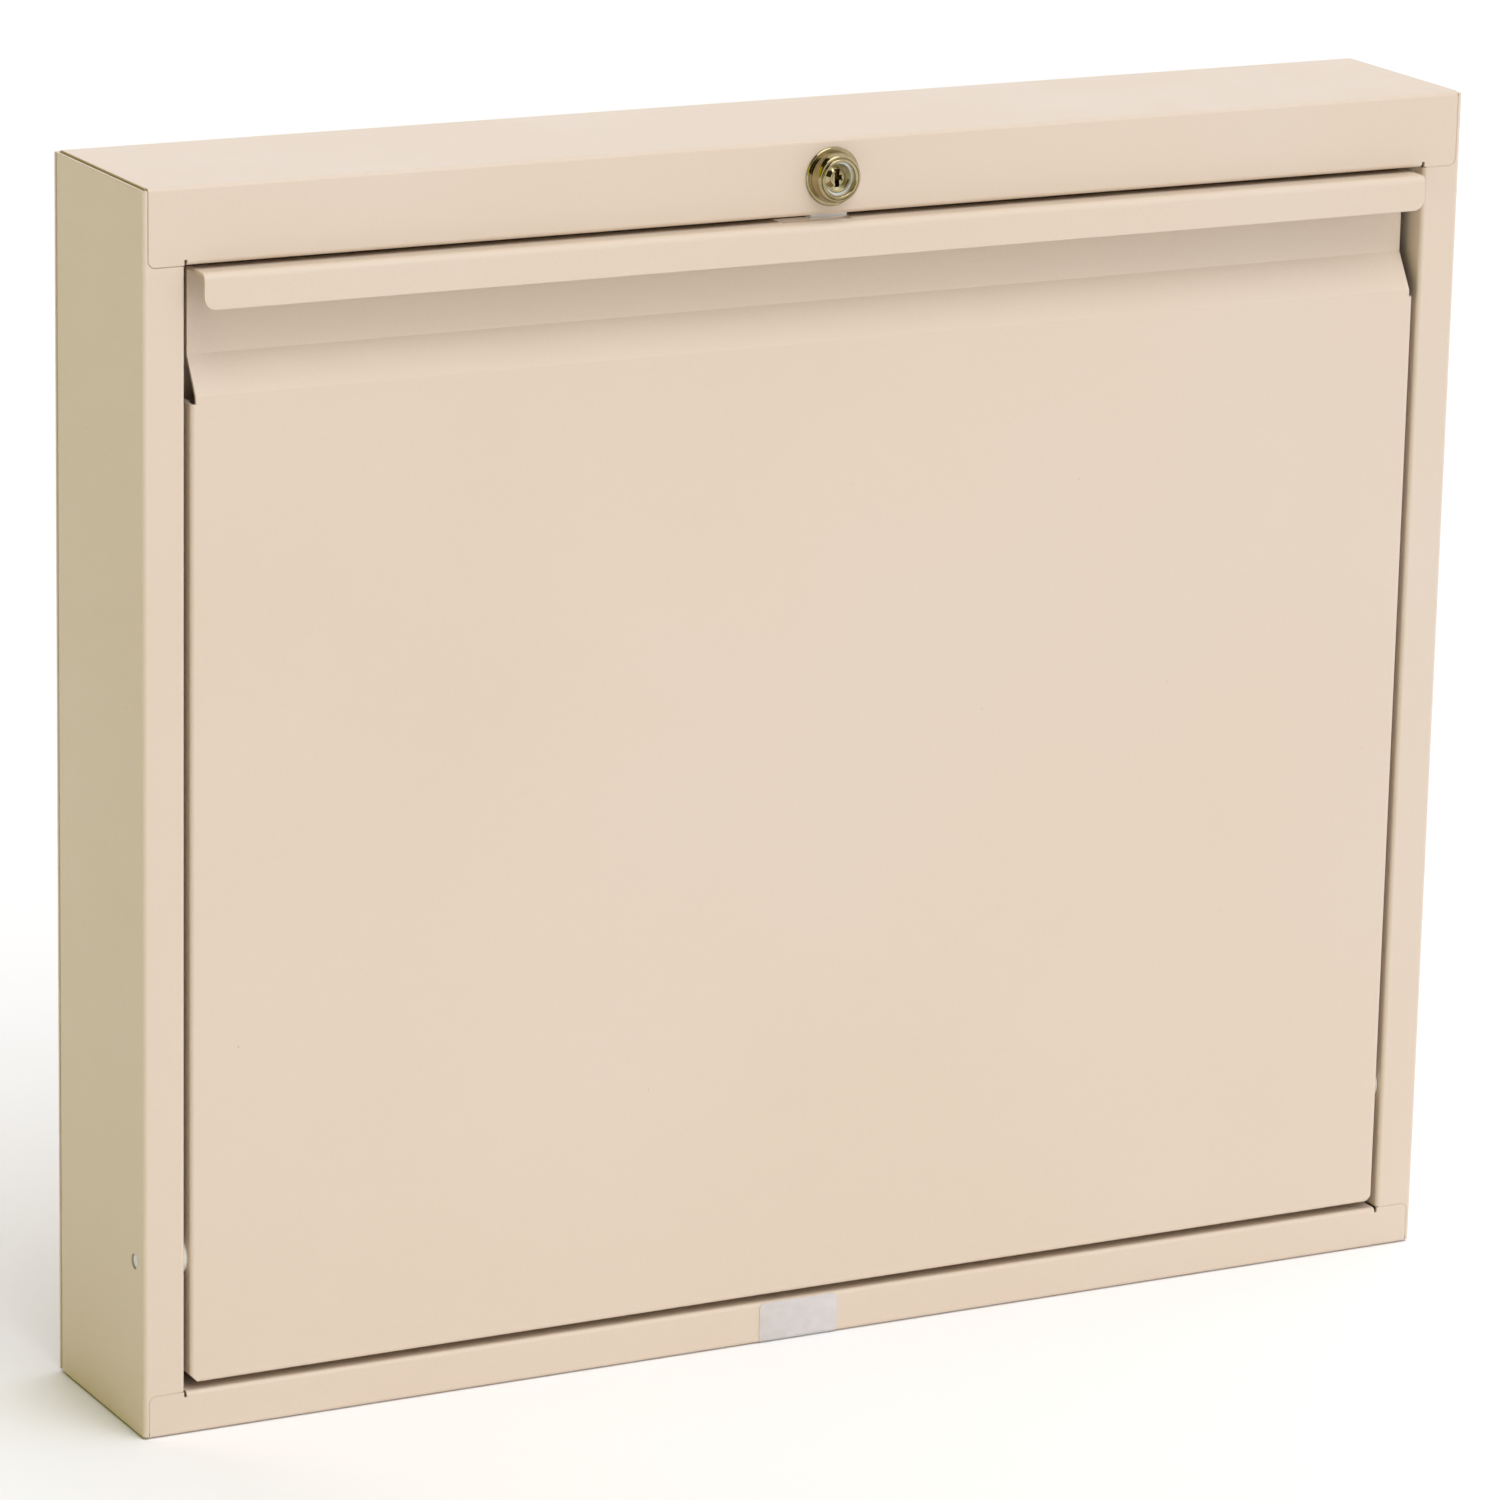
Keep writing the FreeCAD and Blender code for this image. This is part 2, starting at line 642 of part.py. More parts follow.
def door_pan():
    """Outside sheet of the door: front, jog, strip, fold and lip, with side and base flanges."""
    body = new_body("door_pan")
    back = f"{FRONT} + sheet"
    strip_back = f"{STRIP_FRONT} + sheet"
    lip_back = f"{LIP_FRONT} + sheet"
    lip_end = f"{DOOR_TOP} - lip_height"
    fold = f"{DOOR_TOP} - sheet"
    corners = [
        (FRONT, DOOR_BASE),
        (FRONT, JOG_BASE),
        (STRIP_FRONT, JOG_TOP),
        (STRIP_FRONT, fold),
        (lip_back, fold),
        (lip_back, lip_end),
        (LIP_FRONT, lip_end),
        (LIP_FRONT, DOOR_TOP),
        (strip_back, DOOR_TOP),
        (strip_back, f"{JOG_TOP} - {JOG_SHIFT}"),
        (back, f"{JOG_BASE} - {JOG_SHIFT}"),
        (back, DOOR_BASE),
    ]
    pad_profile(body, "YZ_Plane", corners, f"2 * {DOOR_SIDE}")
    round_edges(body, "X", [(LIP_FRONT, DOOR_TOP)], "lip_bend")
    round_edges(body, "X", [(lip_back, fold)], "lip_bend - sheet")
    round_bends(
        body,
        "X",
        [(strip_back, DOOR_TOP), (FRONT, JOG_BASE), (strip_back, f"{JOG_TOP} - {JOG_SHIFT}")],
        [(STRIP_FRONT, fold), (back, f"{JOG_BASE} - {JOG_SHIFT}"), (STRIP_FRONT, JOG_TOP)],
    )
    for left, right in mirror_pair(LIP_SIDE, f"{DOOR_SIDE} + seam"):
        add_block(
            body, "Pocket", left, right, f"{LIP_FRONT} - seam", f"{DOOR_BACK}", FLANGE_TOP,
            f"{DOOR_TOP} + seam",
        )
    for left, right in mirror_pair(f"{DOOR_SIDE} - sheet", DOOR_SIDE):
        add_block(body, "Pad", left, right, FRONT, DOOR_BACK, DOOR_BASE, FLANGE_TOP)
    add_block(body, "Pad", f"-{DOOR_SIDE}", DOOR_SIDE, FRONT, DOOR_BACK, DOOR_BASE, f"{DOOR_BASE} + sheet")
    for half in (1, -1):
        outer = f"{half} * ({DOOR_SIDE} + seam)"
        inner = f"{half} * ({DOOR_SIDE} - {CORNER_CUT})"
        sketch = new_sketch(body, "XZ_Plane", f"-({FRONT} + door_depth / 2)")
        under = f"{DOOR_BASE} - seam"
        add_outline(sketch, [(outer, under), (inner, under), (outer, f"{DOOR_BASE} + {CORNER_CUT}")])
        thicken(body, "Pocket", sketch, "2 * door_depth")
    halves = (1, -1)
    round_edges(body, "Z", [(f"{half} * {DOOR_SIDE}", FRONT) for half in halves], "bend")
    round_edges(body, "Z", [(f"{half} * ({DOOR_SIDE} - sheet)", back) for half in halves], "bend - sheet")
    round_edges(body, "X", [(FRONT, DOOR_BASE)], "bend")
    round_edges(body, "X", [(back, f"{DOOR_BASE} + sheet")], "bend - sheet")
    round_edges(body, "Y", [(f"{half} * {LIP_SIDE}", lip_end) for half in halves], "lip_corner")
    drill_bush_holes(body)
    slot_front = f"({FRONT} - slot_reach)"
    add_block(
        body, "Pocket", "-slot_left", "slot_right", slot_front, f"{slot_front} + slot_depth",
        f"{fold} - seam", f"{DOOR_TOP} + seam",
    )
    return body


def drill_bush_holes(body):
    """Drill the two holes on the pivot axis that the bushes are pressed into."""
    for sign in (1, -1):
        drill(
            body, "YZ_Plane", f"{sign} * ({DOOR_SIDE} - sheet)", [(PIVOT_Y, PIVOT_Z)], "bush_outer",
            "6 * sheet",
        )


def door_liner():
    """Inside sheet of the door, with hems that nest in the pan's side flanges."""
    body = new_body("door_liner")
    plate_front = f"({DOOR_BACK} - sheet)"
    hem_front = f"({DOOR_BACK} - liner_hem)"
    hem = f"({LINER_SIDE} - sheet)"
    corners = [
        (f"-{LINER_SIDE}", hem_front),
        (f"-{LINER_SIDE}", DOOR_BACK),
        (LINER_SIDE, DOOR_BACK),
        (LINER_SIDE, hem_front),
        (hem, hem_front),
        (hem, plate_front),
        (f"-{hem}", plate_front),
        (f"-{hem}", hem_front),
    ]
    sketch = new_sketch(body, "XY_Plane", f"({LINER_TOP} + {LINER_BASE}) / 2")
    add_outline(sketch, corners)
    thicken(body, "Pad", sketch, f"{LINER_TOP} - {LINER_BASE}")
    sides = [f"{half} * {LINER_SIDE}" for half in (1, -1)]
    hems = [f"{half} * {hem}" for half in (1, -1)]
    round_bends(body, "Z", [(side, DOOR_BACK) for side in sides], [(side, plate_front) for side in hems])
    for left, right in mirror_pair(f"{LINER_SIDE} - bend - seam", f"{LINER_SIDE} + seam"):
        add_block(
            body, "Pocket", left, right, f"{hem_front} - seam", f"{DOOR_BACK} - bend",
            f"{FLANGE_TOP}", f"{LINER_TOP} + seam"
        )
        add_block(
            body, "Pocket", left, right, f"{hem_front} - seam", f"{DOOR_BACK} + seam",
            f"{LINER_BASE} - seam",
            f"{LINER_BASE} + {CORNER_CUT}",
        )
    drill_bush_holes(body)
    return body


def door_stiffeners():
    """Three upright channels between the door's two sheets."""
    front = f"({FRONT} + sheet)"
    back = f"({DOOR_BACK} - sheet)"
    channels = []
    for number in (-1, 0, 1):
        body = new_body(f"stiffener_{number + 1}")
        left = f"({number} * stiffener_pitch - stiffener_width / 2)"
        right = f"({number} * stiffener_pitch + stiffener_width / 2)"
        corners = [
            (left, front),
            (left, back),
            (right, back),
            (right, front),
            (f"{right} - sheet", front),
            (f"{right} - sheet", f"{back} - sheet"),
            (f"{left} + sheet", f"{back} - sheet"),
            (f"{left} + sheet", front),
        ]
        low = f"({DOOR_BASE} + stiffener_end)"
        high = f"({FLANGE_TOP} - stiffener_end)"
        sketch = new_sketch(body, "XY_Plane", f"({low} + {high}) / 2")
        add_outline(sketch, corners)
        thicken(body, "Pad", sketch, f"{high} - {low}")
        round_bends(
            body,
            "Z",
            [(left, back), (right, back)],
            [(f"{left} + sheet", f"{back} - sheet"), (f"{right} - sheet", f"{back} - sheet")],
        )
        channels.append(body)
    return join("Compound", "door_stiffeners", channels)


def writing_surface():
    """Laminate bonded to the liner above the pivot line."""
    body = new_body("writing_surface")
    side = f"({DOOR_SIDE} - surface_side)"
    low = f"({PIVOT_Z} + surface_base)"
    high = f"({LINER_TOP} - surface_top)"
    add_block(body, "Pad", f"-{side}", side, DOOR_BACK, f"{DOOR_BACK} + surface_thick", low, high)
    round_edges(
        body, "Y", [(f"{half} * {side}", level) for half in (1, -1) for level in (low, high)],
        "surface_corner",
    )
    return body


def liner_rivets():
    """Rivets along the liner's bottom edge, into the pan's base flange."""
    spots = [f"{number} * stiffener_pitch / 2" for number in (-3, -1, 1, 3)]
    rivets = []
    for number, across in enumerate(spots):
        height = f"({PIVOT_Z} - pivot_rise / 4)"
        head = cylinder(
            f"rivet_head_{number}", "rivet_head", "rivet_head_thick", across, DOOR_BACK, height, "Y",
        )
        shank = cylinder(
            f"rivet_shank_{number}", "rivet_shank", "rivet_length", across,
            f"{DOOR_BACK} - rivet_length", height, "Y"
        )
        rivets.append(join("MultiFuse", f"rivet_{number}", [head, shank]))
    return join("Compound", "liner_rivets", rivets), spots, height


# ---------------------------------------------------------------- pivots


def pivot_bush(label, sign):
    """Nylon bush: a rim in the gap beside the door and a sleeve in the door's flange."""
    body = new_body(label)
    rim_start = f"{sign} * ({DOOR_SIDE} + bush_rim_thick)"
    rim_end = f"{sign} * {DOOR_SIDE}"
    sleeve_end = f"{sign} * ({DOOR_SIDE} - bush_length)"
    bore = "pin_diameter / 2 + pin_fit"
    turn(
        body,
        "XY_Plane",
        [
            (rim_start, bore),
            (rim_start, "bush_rim / 2"),
            (rim_end, "bush_rim / 2"),
            (rim_end, "bush_outer / 2"),
            (sleeve_end, "bush_outer / 2"),
            (sleeve_end, bore),
        ],
    )
    place(body, "0", PIVOT_Y, PIVOT_Z)
    return body


def pivot_pin(label, sign):
    """Steel pin through the side panel's web and return into the door's bush."""
    start = f"({SIDE} - pin_recess)"
    end = f"({DOOR_SIDE} - bush_length - nut_gap - nut_thick - pin_tail)"
    low = end if sign > 0 else f"-{start}"
    pin = cylinder(label, "pin_diameter", f"{start} - {end}", low, PIVOT_Y, PIVOT_Z, "X")
    pin.Label = label
    return pin


def push_nuts():
    """Thin nuts pushed on the pins inside the door."""
    nuts = []
    near = f"({DOOR_SIDE} - bush_length - nut_gap)"
    for name, sign in (("left", -1), ("right", 1)):
        start = f"({near} - nut_thick)" if sign > 0 else f"-{near}"
        disc = cylinder(f"nut_disc_{name}", "nut_diameter", "nut_thick", start, PIVOT_Y, PIVOT_Z, "X")
        hole = cylinder(f"nut_hole_{name}", "pin_diameter", "nut_thick", start, PIVOT_Y, PIVOT_Z, "X")
        ring = doc.addObject("Part::Cut", f"push_nut_{name}")
        ring.Base = disc
        ring.Tool = hole
        nuts.append(ring)
    return join("Compound", "push_nuts", nuts)


# ---------------------------------------------------------------- lock


def lock_bezel():
    """Domed ring outside the header: a thin rim, a dome and a mouth around the plug."""
    body = new_body("lock_bezel")
    rim = "-bezel_rim_thick"
    turn(
        body,
        "YZ_Plane",
        [
            ("0", "barrel_diameter / 2"),
            ("0", "bezel_rim / 2"),
            (rim, "bezel_rim / 2"),
            (rim, "bezel_dome / 2"),
            ("-bezel_shoulder", "bezel_shoulder_diameter / 2"),
            ("-bezel_proud", "bezel_face / 2"),
            ("-bezel_proud", "bezel_mouth / 2"),
            ("-barrel_front", "bezel_mouth / 2"),
            ("-barrel_front", "barrel_diameter / 2"),
        ],
    )
    place(body, "0", FRONT, LOCK_Z)
    return body


def lock_body():
    """Die-cast body behind the header: the barrel, and the guides that the bolt slides in."""
    body = new_body("lock_body")
    half = "body_width / 2"
    face = f"({FRONT} + sheet)"
    add_block(body, "Pad", f"-{half}", half, face, BODY_BACK, BODY_BASE, BODY_TOP)
    nose = new_sketch(body, "XZ_Plane", f"-({FRONT} + (barrel_back - barrel_front) / 2)")
    add_circle(nose, "0", LOCK_Z, "barrel_diameter / 2")
    thicken(body, "Pad", nose, "barrel_front + barrel_back")
    drill(
        body, "XZ_Plane", f"-({FRONT})", [("0", LOCK_Z)], "(plug_diameter + 2 * pin_fit)",
        "2 * case_depth",
    )
    driver_room = "(plug_diameter + 2 * driver_clear)"
    drill(
        body, "XZ_Plane", f"-({BARREL_BACK} + case_depth / 2)", [("0", LOCK_Z)], driver_room,
        "case_depth",
    )
    plate = "(bolt_plate_width / 2 + bolt_slack)"
    add_block(
        body, "Pocket", f"-{plate}", plate, f"{PLATE_FRONT} - bolt_slack", f"{BODY_BACK} + seam",
        f"{BODY_BASE} - seam",
        f"{PLATE_TOP} + bolt_slack",
    )
    tongue = "(bolt_width / 2 + bolt_slack)"
    add_block(
        body, "Pocket", f"-{tongue}", tongue, f"{face} - seam", PLATE_FRONT, f"{BODY_BASE} - seam",
        f"{BRIDGE_TOP} + bolt_slack",
    )
    return body


def lock_plug():
    """Plug that the key turns, with a stepped keyway."""
    body = new_body("lock_plug")
    front = "-(barrel_front - plug_recess)"
    turn(
        body,
        "YZ_Plane",
        [
            (front, "0"),
            (front, "plug_diameter / 2"),
            ("barrel_back", "plug_diameter / 2"),
            ("barrel_back", "0"),
        ],
    )
    low = "(-keyway_height / 2)"
    add_block(
        body, "Pocket", "-keyway_width / 2", "keyway_width / 2", f"{front} - seam",
        f"{front} + keyway_depth", low, "keyway_height / 2",
    )
    add_block(
        body, "Pocket", "-keyway_width / 2", "keyway_width", f"{front} - seam", f"{front} + keyway_depth",
        "-keyway_height / 6", "keyway_height / 8",
    )
    place(body, "0", FRONT, LOCK_Z)
    return body


def lock_driver():
    """Crank disc fixed behind the plug, whose pin moves the bolt."""
    disc = cylinder("driver_disc", "plug_diameter", "driver_thick", "0", BARREL_BACK, LOCK_Z, "Y")
    pin = cylinder(
        "driver_pin", "crank_pin", "driver_thick / 2 + bolt_slack + bolt_plate_thick", CRANK_RISE,
        f"{BARREL_BACK} + driver_thick / 2", f"{LOCK_Z} + {CRANK_RISE}", "Y",
    )
    return join("MultiFuse", "lock_driver", [disc, pin])


def lock_bolt():
    """Dead bolt: a plate behind the barrel, a bridge under it and a tongue just behind the header."""
    body = new_body("lock_bolt")
    plate = "(bolt_plate_width / 2)"
    tongue = "(bolt_width / 2)"
    bridge_base = f"({BOLT_TIP} + bolt_travel)"
    add_block(body, "Pad", f"-{plate}", plate, PLATE_FRONT, PLATE_BACK, bridge_base, PLATE_TOP)
    add_block(body, "Pad", f"-{tongue}", tongue, BOLT_FRONT, PLATE_BACK, bridge_base, BRIDGE_TOP)
    add_block(body, "Pad", f"-{tongue}", tongue, BOLT_FRONT, BOLT_BACK, BOLT_TIP, BRIDGE_TOP)
    slot_half = "(crank_pin / 2 + crank_slack)"
    reach = f"(crank_radius + {slot_half})"
    centre = f"({LOCK_Z} + {CRANK_RISE})"
    add_block(
        body, "Pocket", f"-{reach}", reach, f"{PLATE_FRONT} - seam", f"{PLATE_BACK} + seam",
        f"{centre} - {slot_half}",
        f"{centre} + {slot_half}",
    )
    return body


def lock_cover():
    """Plate that closes the lock body behind the bolt."""
    body = new_body("lock_cover")
    half = "(body_width / 2)"
    add_block(body, "Pad", f"-{half}", half, BODY_BACK, COVER_BACK, BODY_BASE, BODY_TOP)
    return body


def cover_screw_places():
    """Give the four screws' places, in the body's side walls."""
    across = "((body_width / 2 + bolt_plate_width / 2 + bolt_slack) / 2)"
    inset = "cover_screw_head"
    levels = (f"{BODY_BASE} + {inset}", f"{BODY_TOP} - {inset}")
    return [(f"{half} * {across}", level) for half in (1, -1) for level in levels]


def cover_screws():
    """Four small screws that hold the cover on."""
    screws = []
    for number, (across, height) in enumerate(cover_screw_places()):
        head = cylinder(
            f"cover_head_{number}", "cover_screw_head", "cover_screw_head_thick", across,
            COVER_BACK, height, "Y",
        )
        shank = cylinder(
            f"cover_shank_{number}", "cover_screw", "cover_screw_length", across,
            f"{COVER_BACK} - cover_screw_length",
            height, "Y",
        )
        screws.append(join("MultiFuse", f"cover_screw_{number}", [head, shank]))
    return join("Compound", "cover_screws", screws)


def label_plate():
    """Blank label on the sill's front."""
    body = new_body("label_plate")
    left = "(label_offset - label_width / 2)"
    right = "(label_offset + label_width / 2)"
    add_block(
        body, "Pad", left, right, f"{FRONT} - label_thick", FRONT, f"{SILL_EDGE} - label_height",
        f"{SILL_EDGE} - seam",
    )
    places = [(side, f"{SILL_EDGE} - label_height") for side in (left, right)]
    places += [(side, f"{SILL_EDGE} - seam") for side in (left, right)]
    round_edges(body, "Y", places, "flange_corner / 2")
    return body


def build_catches():
    """Build both catches and gather their pieces by kind."""
    housings, magnets, poles, screws = [], [], [], []
    for name, sign in (("left", -1), ("right", 1)):
        housing, magnet, plates, pair = magnetic_catch(name, sign)
        housings.append(housing)
        magnets.append(magnet)
        poles += plates
        screws += pair
    return [
        join("Compound", "catch_housings", housings),
        join("Compound", "catch_magnets", magnets),
        join("Compound", "catch_poles", poles),
        join("Compound", "catch_screws", screws),
    ]


def build_door():
    """Build the door's pieces, with the holes that their fasteners need."""
    liner = door_liner()
    rivets, spots, height = liner_rivets()
    drill(
        liner, "XZ_Plane", f"-({DOOR_BACK} - sheet / 2)", [(across, height) for across in spots],
        "rivet_shank", "3 * sheet",
    )
    return [door_pan(), liner, door_stiffeners(), writing_surface(), rivets]


def build_lock():
    """Build the lock, with the holes for the cover's screws."""
    body = lock_body()
    cover = lock_cover()
    for plate in (body, cover):
        drill(
            plate, "XZ_Plane", f"-({COVER_BACK})", cover_screw_places(), "cover_screw",
            "2 * cover_screw_length",
        )
    return [lock_bezel(), body, cover, cover_screws(), lock_plug(), lock_driver(), lock_bolt()]


subparts = [
    side_panel("side_panel_left", -1),
    side_panel("side_panel_right", 1),
    top_panel(),
    bottom_panel(),
    back_panel(),
    storage_shelf(),
    stop_buffers(),
    label_plate(),
    pivot_pin("pivot_pin_left", -1),
    pivot_pin("pivot_pin_right", 1),
    push_nuts(),
    pivot_bush("pivot_bush_left", -1),
    pivot_bush("pivot_bush_right", 1),
]
subparts += build_catches()
subparts += build_door()
subparts += build_lock()
doc.recompute()

for item in doc.Objects:
    if "Invalid" in item.State or "Error" in item.State:
        raise RuntimeError(f"{item.Name} failed: {item.State}")
for part in subparts:
    if part.Shape.isNull() or not part.Shape.isValid():
        raise RuntimeError(f"{part.Label} has no valid shape")

os.makedirs("parts", exist_ok=True)
for part in subparts:
    part.Shape.exportStep(f"parts/{part.Label}.step")
    box = part.Shape.BoundBox
    print(f"{part.Label}: {len(part.Shape.Solids)} solid(s), Z {box.ZMin:.1f} to {box.ZMax:.1f}")
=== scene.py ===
"""Looks for a wall-hung fold-down writing desk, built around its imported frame.

The sheet-metal pieces keep the frame's own shapes and get their finishes here. The small turned,
moulded and printed pieces are modelled again in full detail and stand for their plain versions.
Lengths are in metres, +Z is up and the desk's front faces -Y.
"""

import json
import logging
import math
from collections.abc import Callable
from dataclasses import dataclass, field
from enum import Enum

import bpy
from mathutils import Matrix, Vector


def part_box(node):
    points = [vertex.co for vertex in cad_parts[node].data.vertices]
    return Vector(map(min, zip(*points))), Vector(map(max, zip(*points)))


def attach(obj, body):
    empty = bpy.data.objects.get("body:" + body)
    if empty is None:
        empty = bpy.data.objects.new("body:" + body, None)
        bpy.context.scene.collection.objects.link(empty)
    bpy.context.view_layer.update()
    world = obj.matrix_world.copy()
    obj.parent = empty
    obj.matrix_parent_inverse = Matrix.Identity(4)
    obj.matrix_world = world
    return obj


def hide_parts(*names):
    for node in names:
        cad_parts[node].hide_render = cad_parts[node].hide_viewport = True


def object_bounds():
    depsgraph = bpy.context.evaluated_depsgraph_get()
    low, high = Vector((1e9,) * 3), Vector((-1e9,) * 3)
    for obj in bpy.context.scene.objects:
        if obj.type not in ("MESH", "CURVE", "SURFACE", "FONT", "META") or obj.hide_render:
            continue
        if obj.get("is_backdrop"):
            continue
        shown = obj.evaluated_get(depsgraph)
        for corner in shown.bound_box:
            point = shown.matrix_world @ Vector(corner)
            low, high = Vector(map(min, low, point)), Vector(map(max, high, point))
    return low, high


logging.basicConfig(level=logging.INFO, format="%(name)s: %(message)s")
LOG = logging.getLogger("wall_desk")

MM = 0.001

# Edges sharper than the first angle are rounded, and shading breaks at the second.
SHARP_DEG = 40.0
CREASE_DEG = 50.0

# Short names for the types that most signatures use.
Colour = tuple[float, float, float, float]
Stops = list[tuple[float, Colour]]
Section = list[tuple[float, float]]
Tree = bpy.types.NodeTree
Node = bpy.types.Node
Socket = bpy.types.NodeSocket
Piece = bpy.types.Object

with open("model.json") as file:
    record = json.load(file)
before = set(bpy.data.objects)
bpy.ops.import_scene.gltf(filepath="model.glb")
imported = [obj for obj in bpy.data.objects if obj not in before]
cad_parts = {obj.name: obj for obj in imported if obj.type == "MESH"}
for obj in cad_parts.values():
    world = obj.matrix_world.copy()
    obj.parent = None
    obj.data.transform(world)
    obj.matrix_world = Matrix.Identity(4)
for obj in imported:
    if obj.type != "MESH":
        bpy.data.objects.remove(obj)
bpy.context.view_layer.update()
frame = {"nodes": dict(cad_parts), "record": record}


class Axis(Enum):
    """Direction that a turned piece lies along, with the turn that brings a flat circle square to it."""

    X = (Vector((1, 0, 0)), (0.0, math.pi / 2, 0.0))
    Y = (Vector((0, 1, 0)), (math.pi / 2, 0.0, 0.0))
    Z = (Vector((0, 0, 1)), (0.0, 0.0, 0.0))

    @property
    def along(self) -> Vector:
        """Unit vector of the axis."""
        return self.value[0]

    @property
    def turn(self) -> tuple[float, float, float]:
        """Euler angles for a circle whose normal lies on the axis."""
        return self.value[1]


class Body(Enum):
    """Rigid bodies of the desk that a piece can ride on."""

    CASE = "case"
    DOOR = "door"
    PLUG = "plug"
    BOLT = "bolt"


# ------------------------------------------------------------------ colours and nodes


def srgb(code: str) -> Colour:
    """Turn an sRGB hex colour into linear values.

    Args:
        code: colour as "#RRGGBB".

    Returns:
        The linear red, green and blue, and full opacity.
    """
    parts = [int(code[start:start + 2], 16) / 255 for start in (1, 3, 5)]
    linear = [part / 12.92 if part <= 0.04045 else ((part + 0.055) / 1.055) ** 2.4 for part in parts]
    return linear[0], linear[1], linear[2], 1.0


def per_metre(size_mm: float) -> float:
    """Give the noise scale whose features are about the given size in millimetres."""
    return 1000.0 / size_mm


def add_node(
    tree: Tree,
    kind: str,
    settings: dict[str, object] | None = None,
    inputs: dict[str | int, object] | None = None,
) -> Node:
    """Add one shader node with its settings, values and links.

    Args:
        tree: node tree to add to.
        kind: Blender's name for the node type.
        settings: the node's own properties.
        inputs: socket name or number to a plain value, or to an output socket to link from.

    Returns:
        The new node.
    """
    node = tree.nodes.new(kind)
    for name, setting in (settings or {}).items():
        setattr(node, name, setting)
    for name, given in (inputs or {}).items():
        if isinstance(given, Socket):
            tree.links.new(given, node.inputs[name])
        else:
            node.inputs[name].default_value = given
    return node


def set_stops(ramp: Node, stops: Stops) -> None:
    """Give a colour ramp its stops, in order of place."""
    elements = ramp.color_ramp.elements
    while len(elements) < len(stops):
        elements.new(1.0)
    for element, (place, colour) in zip(elements, stops):
        element.position = place
        element.color = colour


def grey(level: float) -> Colour:
    """Give an opaque grey."""
    return level, level, level, 1.0


# ------------------------------------------------------------------ finishes


@dataclass(frozen=True)
class Finish:
    """What every finish has: a name, the shader's constants, and a node tree to fill."""

    name: str

    def start(self, metallic: float, ior: float | None = None) -> tuple[bpy.types.Material, Tree, Node]:
        """Make an empty material with its shader.

        Args:
            metallic: 1 for bare metal and 0 for everything else.
            ior: refractive index, or None to keep a metal's default.

        Returns:
            The material, its node tree and its shader node.
        """
        material = bpy.data.materials.new(self.name)
        material.use_nodes = True
        tree = material.node_tree
        tree.nodes.clear()
        shader = add_node(tree, "ShaderNodeBsdfPrincipled", inputs={"Metallic": metallic})
        if ior is not None:
            shader.inputs["IOR"].default_value = ior
        output = add_node(tree, "ShaderNodeOutputMaterial")
        tree.links.new(shader.outputs["BSDF"], output.inputs["Surface"])
        return material, tree, shader

    def noise(self, tree: Tree, size_mm: float, detail: float, stretch: Vector | None = None) -> Node:
        """Add a noise whose features have a real size.

        Args:
            tree: node tree to add to.
            size_mm: size of one feature in millimetres.
            detail: octaves of finer noise.
            stretch: factors on X, Y and Z that draw the features out, or None.

        Returns:
            The noise node.
        """
        place = add_node(tree, "ShaderNodeTexCoord").outputs["Object"]
        if stretch is not None:
            mapping = add_node(tree, "ShaderNodeMapping", inputs={"Vector": place, "Scale": stretch})
            place = mapping.outputs["Vector"]
        inputs = {"Vector": place, "Scale": per_metre(size_mm), "Detail": detail}
        return add_node(tree, "ShaderNodeTexNoise", inputs=inputs)

    def ramp(self, tree: Tree, factor: Socket, stops: Stops) -> Socket:
        """Add a colour ramp over a factor and give its colour output."""
        node = add_node(tree, "ShaderNodeValToRGB", inputs={"Fac": factor})
        set_stops(node, stops)
        return node.outputs["Color"]

    def tint(self, tree: Tree, shader: Node, noise: Node, stops: Stops) -> None:
        """Colour the surface by a noise."""
        tree.links.new(self.ramp(tree, noise.outputs["Fac"], stops), shader.inputs["Base Color"])

    def gloss(
        self, tree: Tree, shader: Node, noise: Node, rough: tuple[float, float],
        reach: tuple[float, float] = (0.3, 0.7),
    ) -> None:
        """Let the roughness go from one value to another over a reach of a noise."""
        stops = [(place, grey(level)) for place, level in zip(reach, rough)]
        tree.links.new(self.ramp(tree, noise.outputs["Fac"], stops), shader.inputs["Roughness"])

    def bump(
        self, tree: Tree, shader: Node, height: Socket,
        depth_mm: float, strength: float, soft_mm: float = 0.0,
    ) -> None:
        """Drive the shader's normal from a height, over edges softened by a small radius."""
        inputs: dict[str | int, object] = {"Height": height, "Strength": strength, "Distance": depth_mm * MM}
        if soft_mm:
            soft = add_node(tree, "ShaderNodeBevel", {"samples": 6}, {"Radius": soft_mm * MM})
            inputs["Normal"] = soft.outputs["Normal"]
        node = add_node(tree, "ShaderNodeBump", inputs=inputs)
        tree.links.new(node.outputs["Normal"], shader.inputs["Normal"])


